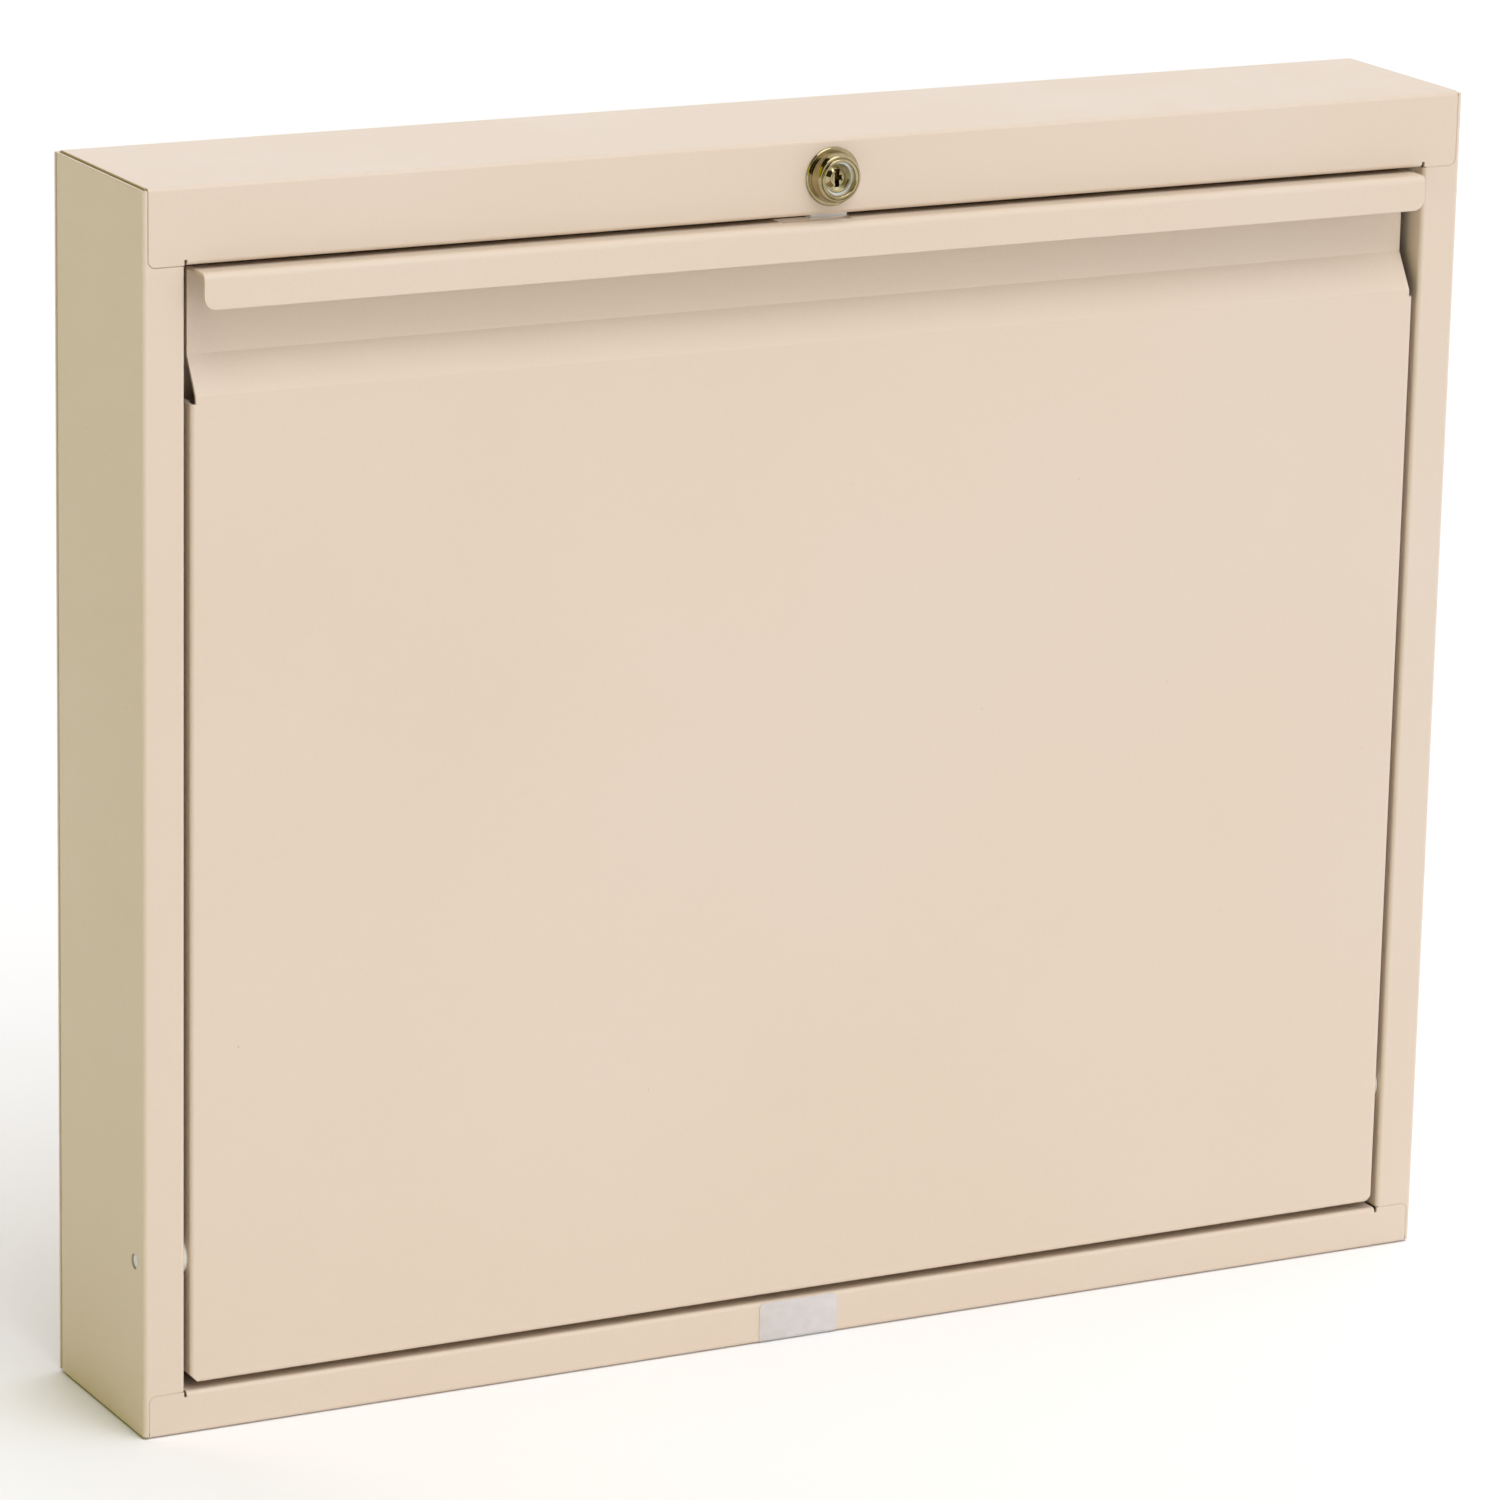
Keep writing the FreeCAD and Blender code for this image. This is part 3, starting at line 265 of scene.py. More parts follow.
@dataclass(frozen=True)
class PowderCoat(Finish):
    """Almond polyester powder coat, sprayed and baked on sheet steel.

    It gives a satin sheen broken by a fine orange peel, a colour that drifts a little where the coat
    is thicker, faint handling marks and a few specks of dust.
    """

    colour: str = "#DECDBA"
    thin: str = "#DDCBB7"
    thick: str = "#DFCFBE"
    dust: str = "#A79782"
    rough: tuple[float, float] = (0.40, 0.46)
    peel_mm: float = 1.4
    peel_depth_mm: float = 0.05
    soft_mm: float = 0.35
    grain_mm: float = 0.7
    grain_shade: float = 0.975
    drift_mm: float = 240.0
    scuff_mm: float = 38.0
    speck_mm: float = 11.0
    dusty_patch_mm: float = 70.0

    def specks(self, tree: Tree) -> Socket:
        """Give a mask of small specks that keep to a few patches."""
        place = add_node(tree, "ShaderNodeTexCoord").outputs["Object"]
        inputs = {"Vector": place, "Scale": per_metre(self.speck_mm), "Randomness": 1.0}
        cells = add_node(tree, "ShaderNodeTexVoronoi", {"feature": "F1"}, inputs)
        dots = self.ramp(tree, cells.outputs["Distance"], [(0.018, grey(1.0)), (0.034, grey(0.0))])
        patches = self.noise(tree, self.dusty_patch_mm, 1.0)
        rare = self.ramp(tree, patches.outputs["Fac"], [(0.60, grey(0.0)), (0.66, grey(1.0))])
        both = add_node(tree, "ShaderNodeMath", {"operation": "MULTIPLY"}, {0: dots, 1: rare})
        return both.outputs["Value"]

    def build(self) -> bpy.types.Material:
        """Build the material."""
        material, tree, shader = self.start(0.0, 1.5)
        drift = self.noise(tree, self.drift_mm, 2.0)
        coats = [(0.30, srgb(self.thin)), (0.52, srgb(self.colour)), (0.75, srgb(self.thick))]
        base = self.ramp(tree, drift.outputs["Fac"], coats)
        grain = self.noise(tree, self.grain_mm, 3.0)
        shades = [(0.35, grey(self.grain_shade)), (0.65, grey(1.0))]
        grain_tone = self.ramp(tree, grain.outputs["Fac"], shades)
        toned = add_node(
            tree, "ShaderNodeMix", {"data_type": "RGBA", "blend_type": "MULTIPLY"},
            {"Factor": 1.0, "A": base, "B": grain_tone},
        )
        dusted = add_node(
            tree, "ShaderNodeMix", {"data_type": "RGBA"},
            {"Factor": self.specks(tree), "A": toned.outputs["Result"], "B": srgb(self.dust)},
        )
        tree.links.new(dusted.outputs["Result"], shader.inputs["Base Color"])
        scuff = self.noise(tree, self.scuff_mm, 5.0, Vector((1.0, 1.0, 2.4)))
        self.gloss(tree, shader, scuff, self.rough)
        peel = self.noise(tree, self.peel_mm, 2.0)
        self.bump(tree, shader, peel.outputs["Fac"], self.peel_depth_mm, 0.12, self.soft_mm)
        return material


@dataclass(frozen=True)
class Laminate(Finish):
    """High-pressure laminate with a suede face: pale, finely mottled and almost matt."""

    colour: str = "#E2DED2"
    fleck: str = "#CFC9BA"
    rough: tuple[float, float] = (0.42, 0.56)
    fleck_mm: float = 2.2
    rub_mm: float = 55.0
    suede_mm: float = 0.7
    suede_depth_mm: float = 0.04
    soft_mm: float = 0.2

    def build(self) -> bpy.types.Material:
        """Build the material."""
        material, tree, shader = self.start(0.0, 1.49)
        flecks = self.noise(tree, self.fleck_mm, 6.0)
        self.tint(tree, shader, flecks, [(0.38, srgb(self.fleck)), (0.55, srgb(self.colour))])
        self.gloss(tree, shader, self.noise(tree, self.rub_mm, 3.0), self.rough)
        suede = self.noise(tree, self.suede_mm, 2.0)
        self.bump(tree, shader, suede.outputs["Fac"], self.suede_depth_mm, 0.25, self.soft_mm)
        return material


@dataclass(frozen=True)
class PlatedMetal(Finish):
    """Plated or bare metal: a base tone, a fine lay of polishing or rolling lines, and its gloss."""

    colour: str = "#C9C6BC"
    tarnish: str = "#A79F8C"
    rough: tuple[float, float] = (0.08, 0.18)
    cloud_mm: float = 9.0
    line_mm: float = 0.35
    stretch: tuple[float, float, float] = (1.0, 1.0, 1.0)
    line_depth_mm: float = 0.006
    soft_mm: float = 0.15

    def build(self) -> bpy.types.Material:
        """Build the material."""
        material, tree, shader = self.start(1.0)
        cloud = self.noise(tree, self.cloud_mm, 3.0)
        self.tint(tree, shader, cloud, [(0.3, srgb(self.tarnish)), (0.6, srgb(self.colour))])
        lines = self.noise(tree, self.line_mm, 3.0, Vector(self.stretch))
        self.gloss(tree, shader, lines, self.rough, (0.35, 0.65))
        self.bump(tree, shader, lines.outputs["Fac"], self.line_depth_mm, 0.5, self.soft_mm)
        return material


@dataclass(frozen=True)
class MouldedPlastic(Finish):
    """Moulded plastic or rubber: an even body colour with the mould's fine spark-eroded texture."""

    colour: str = "#EDEBE2"
    shade: str = "#DEDACB"
    rough: tuple[float, float] = (0.35, 0.5)
    ior: float = 1.5
    cloud_mm: float = 5.0
    grain_mm: float = 0.5
    grain_depth_mm: float = 0.02
    soft_mm: float = 0.15
    subsurface: float = 0.0
    subsurface_mm: tuple[float, float, float] = (0.8, 0.7, 0.6)

    def build(self) -> bpy.types.Material:
        """Build the material."""
        material, tree, shader = self.start(0.0, self.ior)
        cloud = self.noise(tree, self.cloud_mm, 3.0)
        self.tint(tree, shader, cloud, [(0.3, srgb(self.shade)), (0.65, srgb(self.colour))])
        grain = self.noise(tree, self.grain_mm, 2.0)
        self.gloss(tree, shader, grain, self.rough)
        if self.subsurface:
            shader.inputs["Subsurface Weight"].default_value = self.subsurface
            shader.inputs["Subsurface Radius"].default_value = [reach * MM for reach in self.subsurface_mm]
            shader.inputs["Subsurface Scale"].default_value = 1.0
        self.bump(tree, shader, grain.outputs["Fac"], self.grain_depth_mm, 0.4, self.soft_mm)
        return material


@dataclass(frozen=True)
class LabelVinyl(Finish):
    """Plain silver-grey vinyl label, very faintly clouded by wear."""

    colour: str = "#D2CCCA"
    rubbed: str = "#D6D0CF"
    soiled: str = "#CEC8C3"
    rough: tuple[float, float] = (0.3, 0.42)
    wear_mm: float = 4.0
    film_mm: float = 1.4
    film_depth_mm: float = 0.008

    def build(self) -> bpy.types.Material:
        """Build the material."""
        material, tree, shader = self.start(0.0, 1.46)
        wear = self.noise(tree, self.wear_mm, 2.0, Vector((0.7, 1.0, 1.2)))
        tones = [(0.3, srgb(self.soiled)), (0.5, srgb(self.colour)), (0.7, srgb(self.rubbed))]
        self.tint(tree, shader, wear, tones)
        film = self.noise(tree, self.film_mm, 2.0)
        self.gloss(tree, shader, film, self.rough)
        self.bump(tree, shader, film.outputs["Fac"], self.film_depth_mm, 0.3)
        return material


@dataclass
class FinishBook:
    """Every finish of the desk, built once."""

    made: dict[str, bpy.types.Material] = field(default_factory=dict)

    def build(self) -> "FinishBook":
        """Build the materials under the record's slot names."""
        finishes = {
            "case_paint": PowderCoat("almond_powder_coat"),
            "laminate": Laminate("suede_laminate"),
            # Polished nickel over brass: warm, mirror-like, with faint buffing lines.
            "bright_nickel": PlatedMetal(
                "bright_nickel_plate", colour="#B3A682", tarnish="#8B7D57", rough=(0.05, 0.11)
            ),
            # Die-cast zinc: cool, slightly grainy from the die.
            "die_cast_zinc": PlatedMetal(
                "die_cast_zinc", colour="#E2E5E3", tarnish="#CBCECC", rough=(0.38, 0.52), line_mm=0.6
            ),
            # Clear zinc plate on steel: bright, with rolling lines under the plate.
            "zinc_plated_steel": PlatedMetal(
                "clear_zinc_plate", colour="#CBCDCB", tarnish="#B0B3AE", rough=(0.2, 0.34),
                stretch=(1.0, 1.0, 0.2),
            ),
            # Galvanised sheet: dull, with broad spangle.
            "galvanised_steel": PlatedMetal(
                "galvanised_sheet", colour="#A9AEB0", tarnish="#8E9496", rough=(0.34, 0.52), line_mm=6.0
            ),
            # Blackened spring steel: dark and oily.
            "spring_steel": PlatedMetal(
                "blackened_spring_steel", colour="#4A4A4C", tarnish="#343436", rough=(0.25, 0.4)
            ),
            # Drawn aluminium rivet: soft white metal with a satin face.
            "rivet_aluminium": PlatedMetal(
                "drawn_aluminium", colour="#D2D3D4", tarnish="#BDBFC0", rough=(0.24, 0.36)
            ),
            # Natural nylon: milky, a little light passes through the rim.
            "nylon": MouldedPlastic(
                "natural_nylon", colour="#F0EEE6", shade="#E4E0D2", rough=(0.3, 0.42), ior=1.53,
                subsurface=0.3,
            ),
            # Nitrile rubber: near black, matt, with a fine mould grain.
            "rubber": MouldedPlastic(
                "nitrile_rubber", colour="#26262A", shade="#1C1C1F", rough=(0.6, 0.8), ior=1.52,
                grain_depth_mm=0.04,
            ),
            # ABS housing: off-white, satin.
            "catch_plastic": MouldedPlastic(
                "moulded_abs", colour="#DDD5C4", shade="#D2C9B6", rough=(0.38, 0.52), ior=1.54
            ),
            # Sintered ferrite: charcoal and gritty.
            "ferrite": MouldedPlastic(
                "sintered_ferrite", colour="#2C2B2B", shade="#232222", rough=(0.5, 0.7), ior=2.2, grain_mm=0.8
            ),
            "label_vinyl": LabelVinyl("silver_vinyl_label"),
        }
        self.made = {slot: finish.build() for slot, finish in finishes.items()}
        return self

    def dress(self, piece: Piece, slot: str) -> None:
        """Put one finish on a whole piece."""
        piece.data.materials.clear()
        piece.data.materials.append(self.made[slot])


# ------------------------------------------------------------------ modelling helpers


def deselect() -> None:
    """Leave edit mode and clear the selection."""
    if bpy.context.mode != "OBJECT":
        bpy.ops.object.mode_set(mode="OBJECT")
    bpy.ops.object.select_all(action="DESELECT")


def take(*pieces: Piece) -> None:
    """Select only these pieces and make the first one active."""
    deselect()
    for piece in pieces:
        piece.select_set(True)
    bpy.context.view_layer.objects.active = pieces[0]


def settle(piece: Piece, name: str) -> Piece:
    """Name a piece and move its place into its mesh."""
    take(piece)
    bpy.ops.object.transform_apply(location=True, rotation=True, scale=True)
    piece.name = name
    piece.data.name = name
    return piece


def edit(piece: Piece, pick: Callable[[Vector], bool] = lambda point: False) -> None:
    """Open a piece in edit mode with only the vertices selected whose places a test picks."""
    take(piece)
    bpy.ops.object.mode_set(mode="EDIT")
    bpy.ops.mesh.select_mode(type="VERT")
    bpy.ops.mesh.select_all(action="DESELECT")
    bpy.ops.object.mode_set(mode="OBJECT")
    for vertex in piece.data.vertices:
        vertex.select = pick(vertex.co)
    bpy.ops.object.mode_set(mode="EDIT")


def apply_modifier(piece: Piece, kind: str, **settings: object) -> None:
    """Add one modifier with its settings and apply it."""
    take(piece)
    modifier = piece.modifiers.new(kind.lower(), kind)
    for name, setting in settings.items():
        setattr(modifier, name, setting)
    bpy.ops.object.modifier_apply(modifier=modifier.name)


def smooth(piece: Piece, angle_deg: float = 35.0) -> None:
    """Shade a piece smooth, with creases above an angle."""
    take(piece)
    bpy.ops.object.shade_smooth_by_angle(angle=math.radians(angle_deg))


def fuse(pieces: list[Piece], name: str) -> Piece:
    """Join pieces into one object under one name."""
    take(*pieces)
    bpy.ops.object.join()
    return settle(pieces[0], name)


def turned(
    name: str, axis: Axis, centre: Vector, profile: Section, segments: int, ring: bool
) -> Piece:
    """Turn a piece from one circle by extruding and resizing it along a profile.

    Args:
        name: the piece's name.
        axis: direction of the axis.
        centre: point on the axis that the profile is measured from.
        profile: pairs of distance along the axis and radius, in order round the section.
        segments: sides of the circle.
        ring: True for a closed section round a bore, False for a solid with two flat or domed ends.

    Returns:
        The finished piece.
    """
    start_along, start_radius = profile[0]
    deselect()
    bpy.ops.mesh.primitive_circle_add(
        vertices=segments, radius=start_radius, location=centre + axis.along * start_along, rotation=axis.turn
    )
    piece = settle(bpy.context.object, name)
    edit(piece)
    bpy.ops.mesh.select_all(action="SELECT")
    if not ring:
        bpy.ops.mesh.edge_face_add()
        bpy.ops.mesh.select_all(action="SELECT")
        bpy.ops.mesh.region_to_loop()
    steps = profile[1:] + (profile[:1] if ring else [])
    along, radius = start_along, start_radius
    for next_along, next_radius in steps:
        shift = axis.along * (next_along - along)
        bpy.ops.mesh.extrude_edges_move(TRANSFORM_OT_translate={"value": shift})
        ratio = next_radius / radius
        hub = centre + axis.along * next_along
        bpy.ops.transform.resize(value=(ratio, ratio, ratio), center_override=hub)
        along, radius = next_along, next_radius
    if not ring:
        bpy.ops.mesh.edge_face_add()
    bpy.ops.mesh.select_all(action="SELECT")
    bpy.ops.mesh.remove_doubles(threshold=0.002 * MM)
    bpy.ops.mesh.normals_make_consistent(inside=False)
    bpy.ops.object.mode_set(mode="OBJECT")
    smooth(piece)
    return piece


def block(name: str, low: Vector, high: Vector) -> Piece:
    """Add a box between two corners, ready to be shaped."""
    deselect()
    bpy.ops.mesh.primitive_cube_add(size=1.0, location=(low + high) / 2)
    piece = bpy.context.object
    piece.scale = high - low
    return settle(piece, name)


def soften(piece: Piece, width_mm: float, segments: int = 3) -> None:
    """Round a piece's sharp edges."""
    apply_modifier(
        piece, "BEVEL", width=width_mm * MM, segments=segments, limit_method="ANGLE",
        angle_limit=math.radians(SHARP_DEG), harden_normals=False,
    )
    smooth(piece, CREASE_DEG)


def carve(piece: Piece, cutter: Piece) -> None:
    """Cut one shape out of a piece and remove the cutter."""
    apply_modifier(piece, "BOOLEAN", operation="DIFFERENCE", solver="EXACT", object=cutter)
    bpy.data.objects.remove(cutter)


def eased(node: str, name: str, width_mm: float, segments: int = 3) -> Piece:
    """Model a piece from its plain version: merge its facets into whole faces and round its edges.

    Args:
        node: frame node to start from.
        name: the new piece's name.
        width_mm: radius of the rounded edges in millimetres.
        segments: steps in the rounding.

    Returns:
        The rounded piece, with a mesh of its own.
    """
    plain = frame["nodes"][node]
    piece = plain.copy()
    piece.data = plain.data.copy()
    bpy.context.collection.objects.link(piece)
    piece.parent = None
    piece.matrix_world = plain.matrix_world.copy()
    settle(piece, name)
    edit(piece)
    bpy.ops.mesh.select_all(action="SELECT")
    bpy.ops.mesh.remove_doubles(threshold=0.004 * MM)
    bpy.ops.mesh.dissolve_limited(angle_limit=math.radians(1.0))
    bpy.ops.mesh.normals_make_consistent(inside=False)
    bpy.ops.object.mode_set(mode="OBJECT")
    soften(piece, width_mm, segments)
    return piece


def corners(node: str) -> tuple[Vector, Vector]:
    """Give the low and high corners of a frame node's box."""
    low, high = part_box(node)
    return Vector(low), Vector(high)


def middle(node: str) -> Vector:
    """Give the centre of a frame node's box."""
    return sum(corners(node), Vector()) / 2


# ------------------------------------------------------------------ sub-assemblies


@dataclass
class Assembly:
    """Group of pieces that take their finishes from one book."""

    finishes: FinishBook

    def hand_in(self, piece: Piece, body: Body, slot: str, *nodes: str) -> None:
        """Give a piece its finish, its body and the frame nodes that it stands for."""
        self.finishes.dress(piece, slot)
        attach(piece, body.value)
        if nodes:
            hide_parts(*nodes)
        LOG.info("%s rides on %s in %s", piece.name, body.value, slot)

    def ease(self, node: str, name: str, body: Body, slot: str, width_mm: float, segments: int = 3) -> None:
        """Round the edges of a frame node and hand the result in for it."""
        self.hand_in(eased(node, name, width_mm, segments), body, slot, node)


@dataclass
class SheetMetal(Assembly):
    """Folded case and door pieces in the frame's own shapes, with paint in their seams and weld marks."""

    weld_mm: float = 5.0
    weld_rise_mm: float = 0.15
    weld_pitch_mm: float = 62.0
    weld_edge_mm: float = 8.0
    weld_sides: int = 20
    skin_mm: float = 0.3
    skin_ends_mm: tuple[float, float] = (1.4, 1.5)
    skin_rise_mm: tuple[float, float] = (0.8, 2.2)
    sunk_mm: float = 0.13
    open_mm: float = 0.45

    def dress_frame(self) -> None:
        """Put each record slot's finish on the frame node that carries it."""
        for entry in frame["record"]["subparts"]:
            node = frame["nodes"][entry["node"]]
            self.finishes.dress(node, entry["material_slot"])
            LOG.info("%s is finished in %s", node.name, entry["material_slot"])

    def build_seam_skins(self) -> None:
        """Bridge the front seams with paint that has sunk into them.

        The coat nearly fills the seams of the base and of the right side, and leaves the upper left one
        more open.
        """
        cap_low, cap_high = corners("top_panel")
        base_low, base_high = corners("bottom_panel")
        stile_low, stile_high = corners("side_panel_right")
        near, far = stile_low.x + self.skin_ends_mm[0] * MM, stile_high.x - self.skin_ends_mm[1] * MM
        root, crown = (reach * MM for reach in self.skin_rise_mm)
        bands = ((base_low.z + crown, base_high.z + root), (cap_low.z - root, cap_high.z - crown))
        skins = []
        for side in (-1.0, 1.0):
            left, right = sorted((side * near, side * far))
            for low, high in bands:
                sunk = self.open_mm if side < 0 < low else self.sunk_mm
                face = cap_low.y + sunk * MM
                back = face + self.skin_mm * MM
                skins.append(block("seam_skin", Vector((left, face, low)), Vector((right, back, high))))
        self.hand_in(fuse(skins, "seam_paint_skins"), Body.CASE, "case_paint")

    def weld_mark(self, place: Vector) -> Piece:
        """Model one spot weld's mark on the back: a flat-topped ring around a shallow dish."""
        radius = self.weld_mm * MM / 2
        rise = self.weld_rise_mm * MM
        profile = [
            (-0.1 * MM, radius * 1.25),
            (rise * 0.4, radius * 1.12),
            (rise, radius),
            (rise * 0.9, radius * 0.86),
            (rise * 0.2, radius * 0.7),
            (rise * 0.1, radius * 0.1),
        ]
        return turned("weld_mark", Axis.Y, place, profile, self.weld_sides, ring=False)

    def build_welds(self) -> None:
        """Set weld marks round the rim of the back panel."""
        low, high = corners("back_panel")
        edge = self.weld_edge_mm * MM
        across = high.x - low.x - 2 * edge
        up = high.z - low.z - 2 * edge
        columns = round(across / (self.weld_pitch_mm * MM))
        rows = round(up / (self.weld_pitch_mm * MM))
        places = [
            Vector((low.x + edge + across * step / columns, high.y, level))
            for step in range(columns + 1)
            for level in (low.z + edge, high.z - edge)
        ]
        places += [
            Vector((side, high.y, low.z + edge + up * step / rows))
            for step in range(1, rows)
            for side in (low.x + edge, high.x - edge)
        ]
        marks = [self.weld_mark(places[0])]
        for place in places[1:]:
            copy = marks[0].copy()
            copy.data = marks[0].data.copy()
            copy.data.transform(Matrix.Translation(place - places[0]))
            bpy.context.collection.objects.link(copy)
            marks.append(copy)
        self.hand_in(fuse(marks, "spot_weld_marks"), Body.CASE, "case_paint")


@dataclass
class KeyLock(Assembly):
    """Domed trim ring and keyed plug of the lock."""

    segments: int = 96
    rim_mm: float = 24.0
    rim_thick_mm: float = 1.0
    shoulder_mm: float = 21.0
    face_mm: float = 16.4
    proud_mm: float = 7.5
    mouth_mm: float = 13.6
    barrel_mm: float = 18.0
    barrel_front_mm: float = 5.0
    plug_mm: float = 12.0
    hub_mm: float = 6.4
    keyway_mm: tuple[float, float] = (2.0, 7.4)
    keyway_depth_mm: float = 7.0
    clear_mm: float = 1.0
    dome_steps: int = 14
    bead_steps: int = 8

    def bezel_section(self) -> Section:
        """Give the trim ring's section, from the header's face over the dome and bead to its bore."""
        rim = self.rim_mm * MM / 2
        thick = self.rim_thick_mm * MM
        shoulder = self.shoulder_mm * MM / 2
        face = self.face_mm * MM / 2
        proud = self.proud_mm * MM
        mouth = self.mouth_mm * MM / 2
        edge = 0.35 * MM
        bead = (face - mouth) / 2
        section = [(0.0, rim - 0.2 * MM), (-0.2 * MM, rim)]
        section += [(-thick + edge, rim), (-thick, rim - edge), (-thick - 0.05 * MM, shoulder + 0.35 * MM)]
        dome_rise = proud - thick - bead
        for step in range(self.dome_steps + 1):
            angle = math.pi / 2 * step / self.dome_steps
            along = -thick - dome_rise * math.sin(angle)
            section.append((along, face + 0.45 * MM + (shoulder - face - 0.45 * MM) * math.cos(angle) ** 0.9))
        section += [(-proud + bead + 0.35 * MM, face + 0.2 * MM), (-proud + bead + 0.3 * MM, face)]
        for step in range(self.bead_steps + 1):
            angle = math.pi * step / self.bead_steps
            section.append((-proud + bead - bead * math.sin(angle), mouth + bead + bead * math.cos(angle)))
        barrel = self.barrel_mm * MM / 2
        barrel_front = self.barrel_front_mm * MM
        section += [(-barrel_front, mouth), (-barrel_front, barrel), (0.0, barrel)]
        return section

    def build_bezel(self) -> None:
        """Turn the domed trim ring."""
        low, high = corners("lock_bezel")
        centre = Vector(((low.x + high.x) / 2, high.y, (low.z + high.z) / 2))
        ring = turned("lock_trim_ring", Axis.Y, centre, self.bezel_section(), self.segments, ring=True)
        self.hand_in(ring, Body.CASE, "bright_nickel", "lock_bezel")

    def keyway_cutter(self, centre: Vector, front: float) -> Piece:
        """Model the keyway's stepped slot as a solid to cut with."""
        width, height = (size * MM for size in self.keyway_mm)
        start = front - self.clear_mm * MM
        end = front + self.keyway_depth_mm * MM
        low = Vector((centre.x - width / 2, start, centre.z - height / 2))
        high = Vector((centre.x + width / 2, end, centre.z + height / 2))
        slot = block("keyway_slot", low, high)
        ward_low = Vector((centre.x - width / 2, start, centre.z - height * 0.12))
        ward_high = Vector((centre.x + width * 1.05, end, centre.z + height * 0.16))
        ward = block("keyway_ward", ward_low, ward_high)
        apply_modifier(slot, "BOOLEAN", operation="UNION", solver="EXACT", object=ward)
        bpy.data.objects.remove(ward)
        return slot

    def build_plug(self) -> None:
        """Turn the plug, with a ringed hub on a sloping face, and cut its keyway."""
        low, high = corners("lock_plug")
        centre = Vector(((low.x + high.x) / 2, low.y, (low.z + high.z) / 2))
        radius = self.plug_mm * MM / 2
        length = high.y - low.y
        hub = self.hub_mm * MM / 2
        profile = [
            (0.40 * MM, 0.2 * MM),
            (0.35 * MM, hub - 1.2 * MM),
            (0.08 * MM, hub - 0.75 * MM),
            (0.0, hub - 0.55 * MM),
            (0.0, hub - 0.2 * MM),
            (0.2 * MM, hub),
            (1.40 * MM, radius - 0.6 * MM),
            (1.45 * MM, radius - 0.35 * MM),
            (1.15 * MM, radius - 0.2 * MM),
            (1.2 * MM, radius),
            (length, radius),
            (length, 0.5 * MM),
        ]
        plug = turned("lock_key_plug", Axis.Y, centre, profile, self.segments, ring=False)
        carve(plug, self.keyway_cutter(centre, low.y))
        smooth(plug, 30.0)
        self.hand_in(plug, Body.PLUG, "bright_nickel", "lock_plug")

    def build(self) -> None:
        """Build the lock's visible pieces."""
        self.build_bezel()
        self.build_plug()


@dataclass
class LockCase(Assembly):
    """Cast case, cover, driver and bolt behind the header."""

    cast_mm: float = 0.6
    pressed_mm: float = 0.35
    bolt_mm: float = 0.45

    def build(self) -> None:
        """Round the edges of each piece as its process would leave them."""
        self.ease("lock_body", "lock_cast_body", Body.CASE, "die_cast_zinc", self.cast_mm)
        self.ease("lock_cover", "lock_pressed_cover", Body.CASE, "zinc_plated_steel", self.pressed_mm)
        self.ease("lock_driver", "lock_crank_driver", Body.PLUG, "die_cast_zinc", self.pressed_mm)
        self.ease("lock_bolt", "lock_dead_bolt", Body.BOLT, "die_cast_zinc", self.bolt_mm)


@dataclass
class Catches(Assembly):
    """Moulded housings of the magnetic catches, with their magnets and pole plates."""

    housing_mm: float = 1.2
    magnet_mm: float = 0.3
    plate_mm: float = 0.25

    def build(self) -> None:
        """Round each group's edges."""
        self.ease("catch_housings", "catch_moulded_housings", Body.CASE, "catch_plastic", self.housing_mm)
        self.ease("catch_magnets", "catch_ferrite_magnets", Body.CASE, "ferrite", self.magnet_mm)
        self.ease("catch_poles", "catch_pole_plates", Body.CASE, "zinc_plated_steel", self.plate_mm)


@dataclass
class WritingFace(Assembly):
    """Laminate on the inside of the door, with the channels that stiffen it from behind."""

    arris_mm: float = 0.4
    cut_mm: float = 0.2

    def build(self) -> None:
        """Round the laminate's arris and the channels' cut edges."""
        self.ease("writing_surface", "laminate_face", Body.DOOR, "laminate", self.arris_mm)
        self.ease("door_stiffeners", "stiffener_channels", Body.DOOR, "galvanised_steel", self.cut_mm, 2)


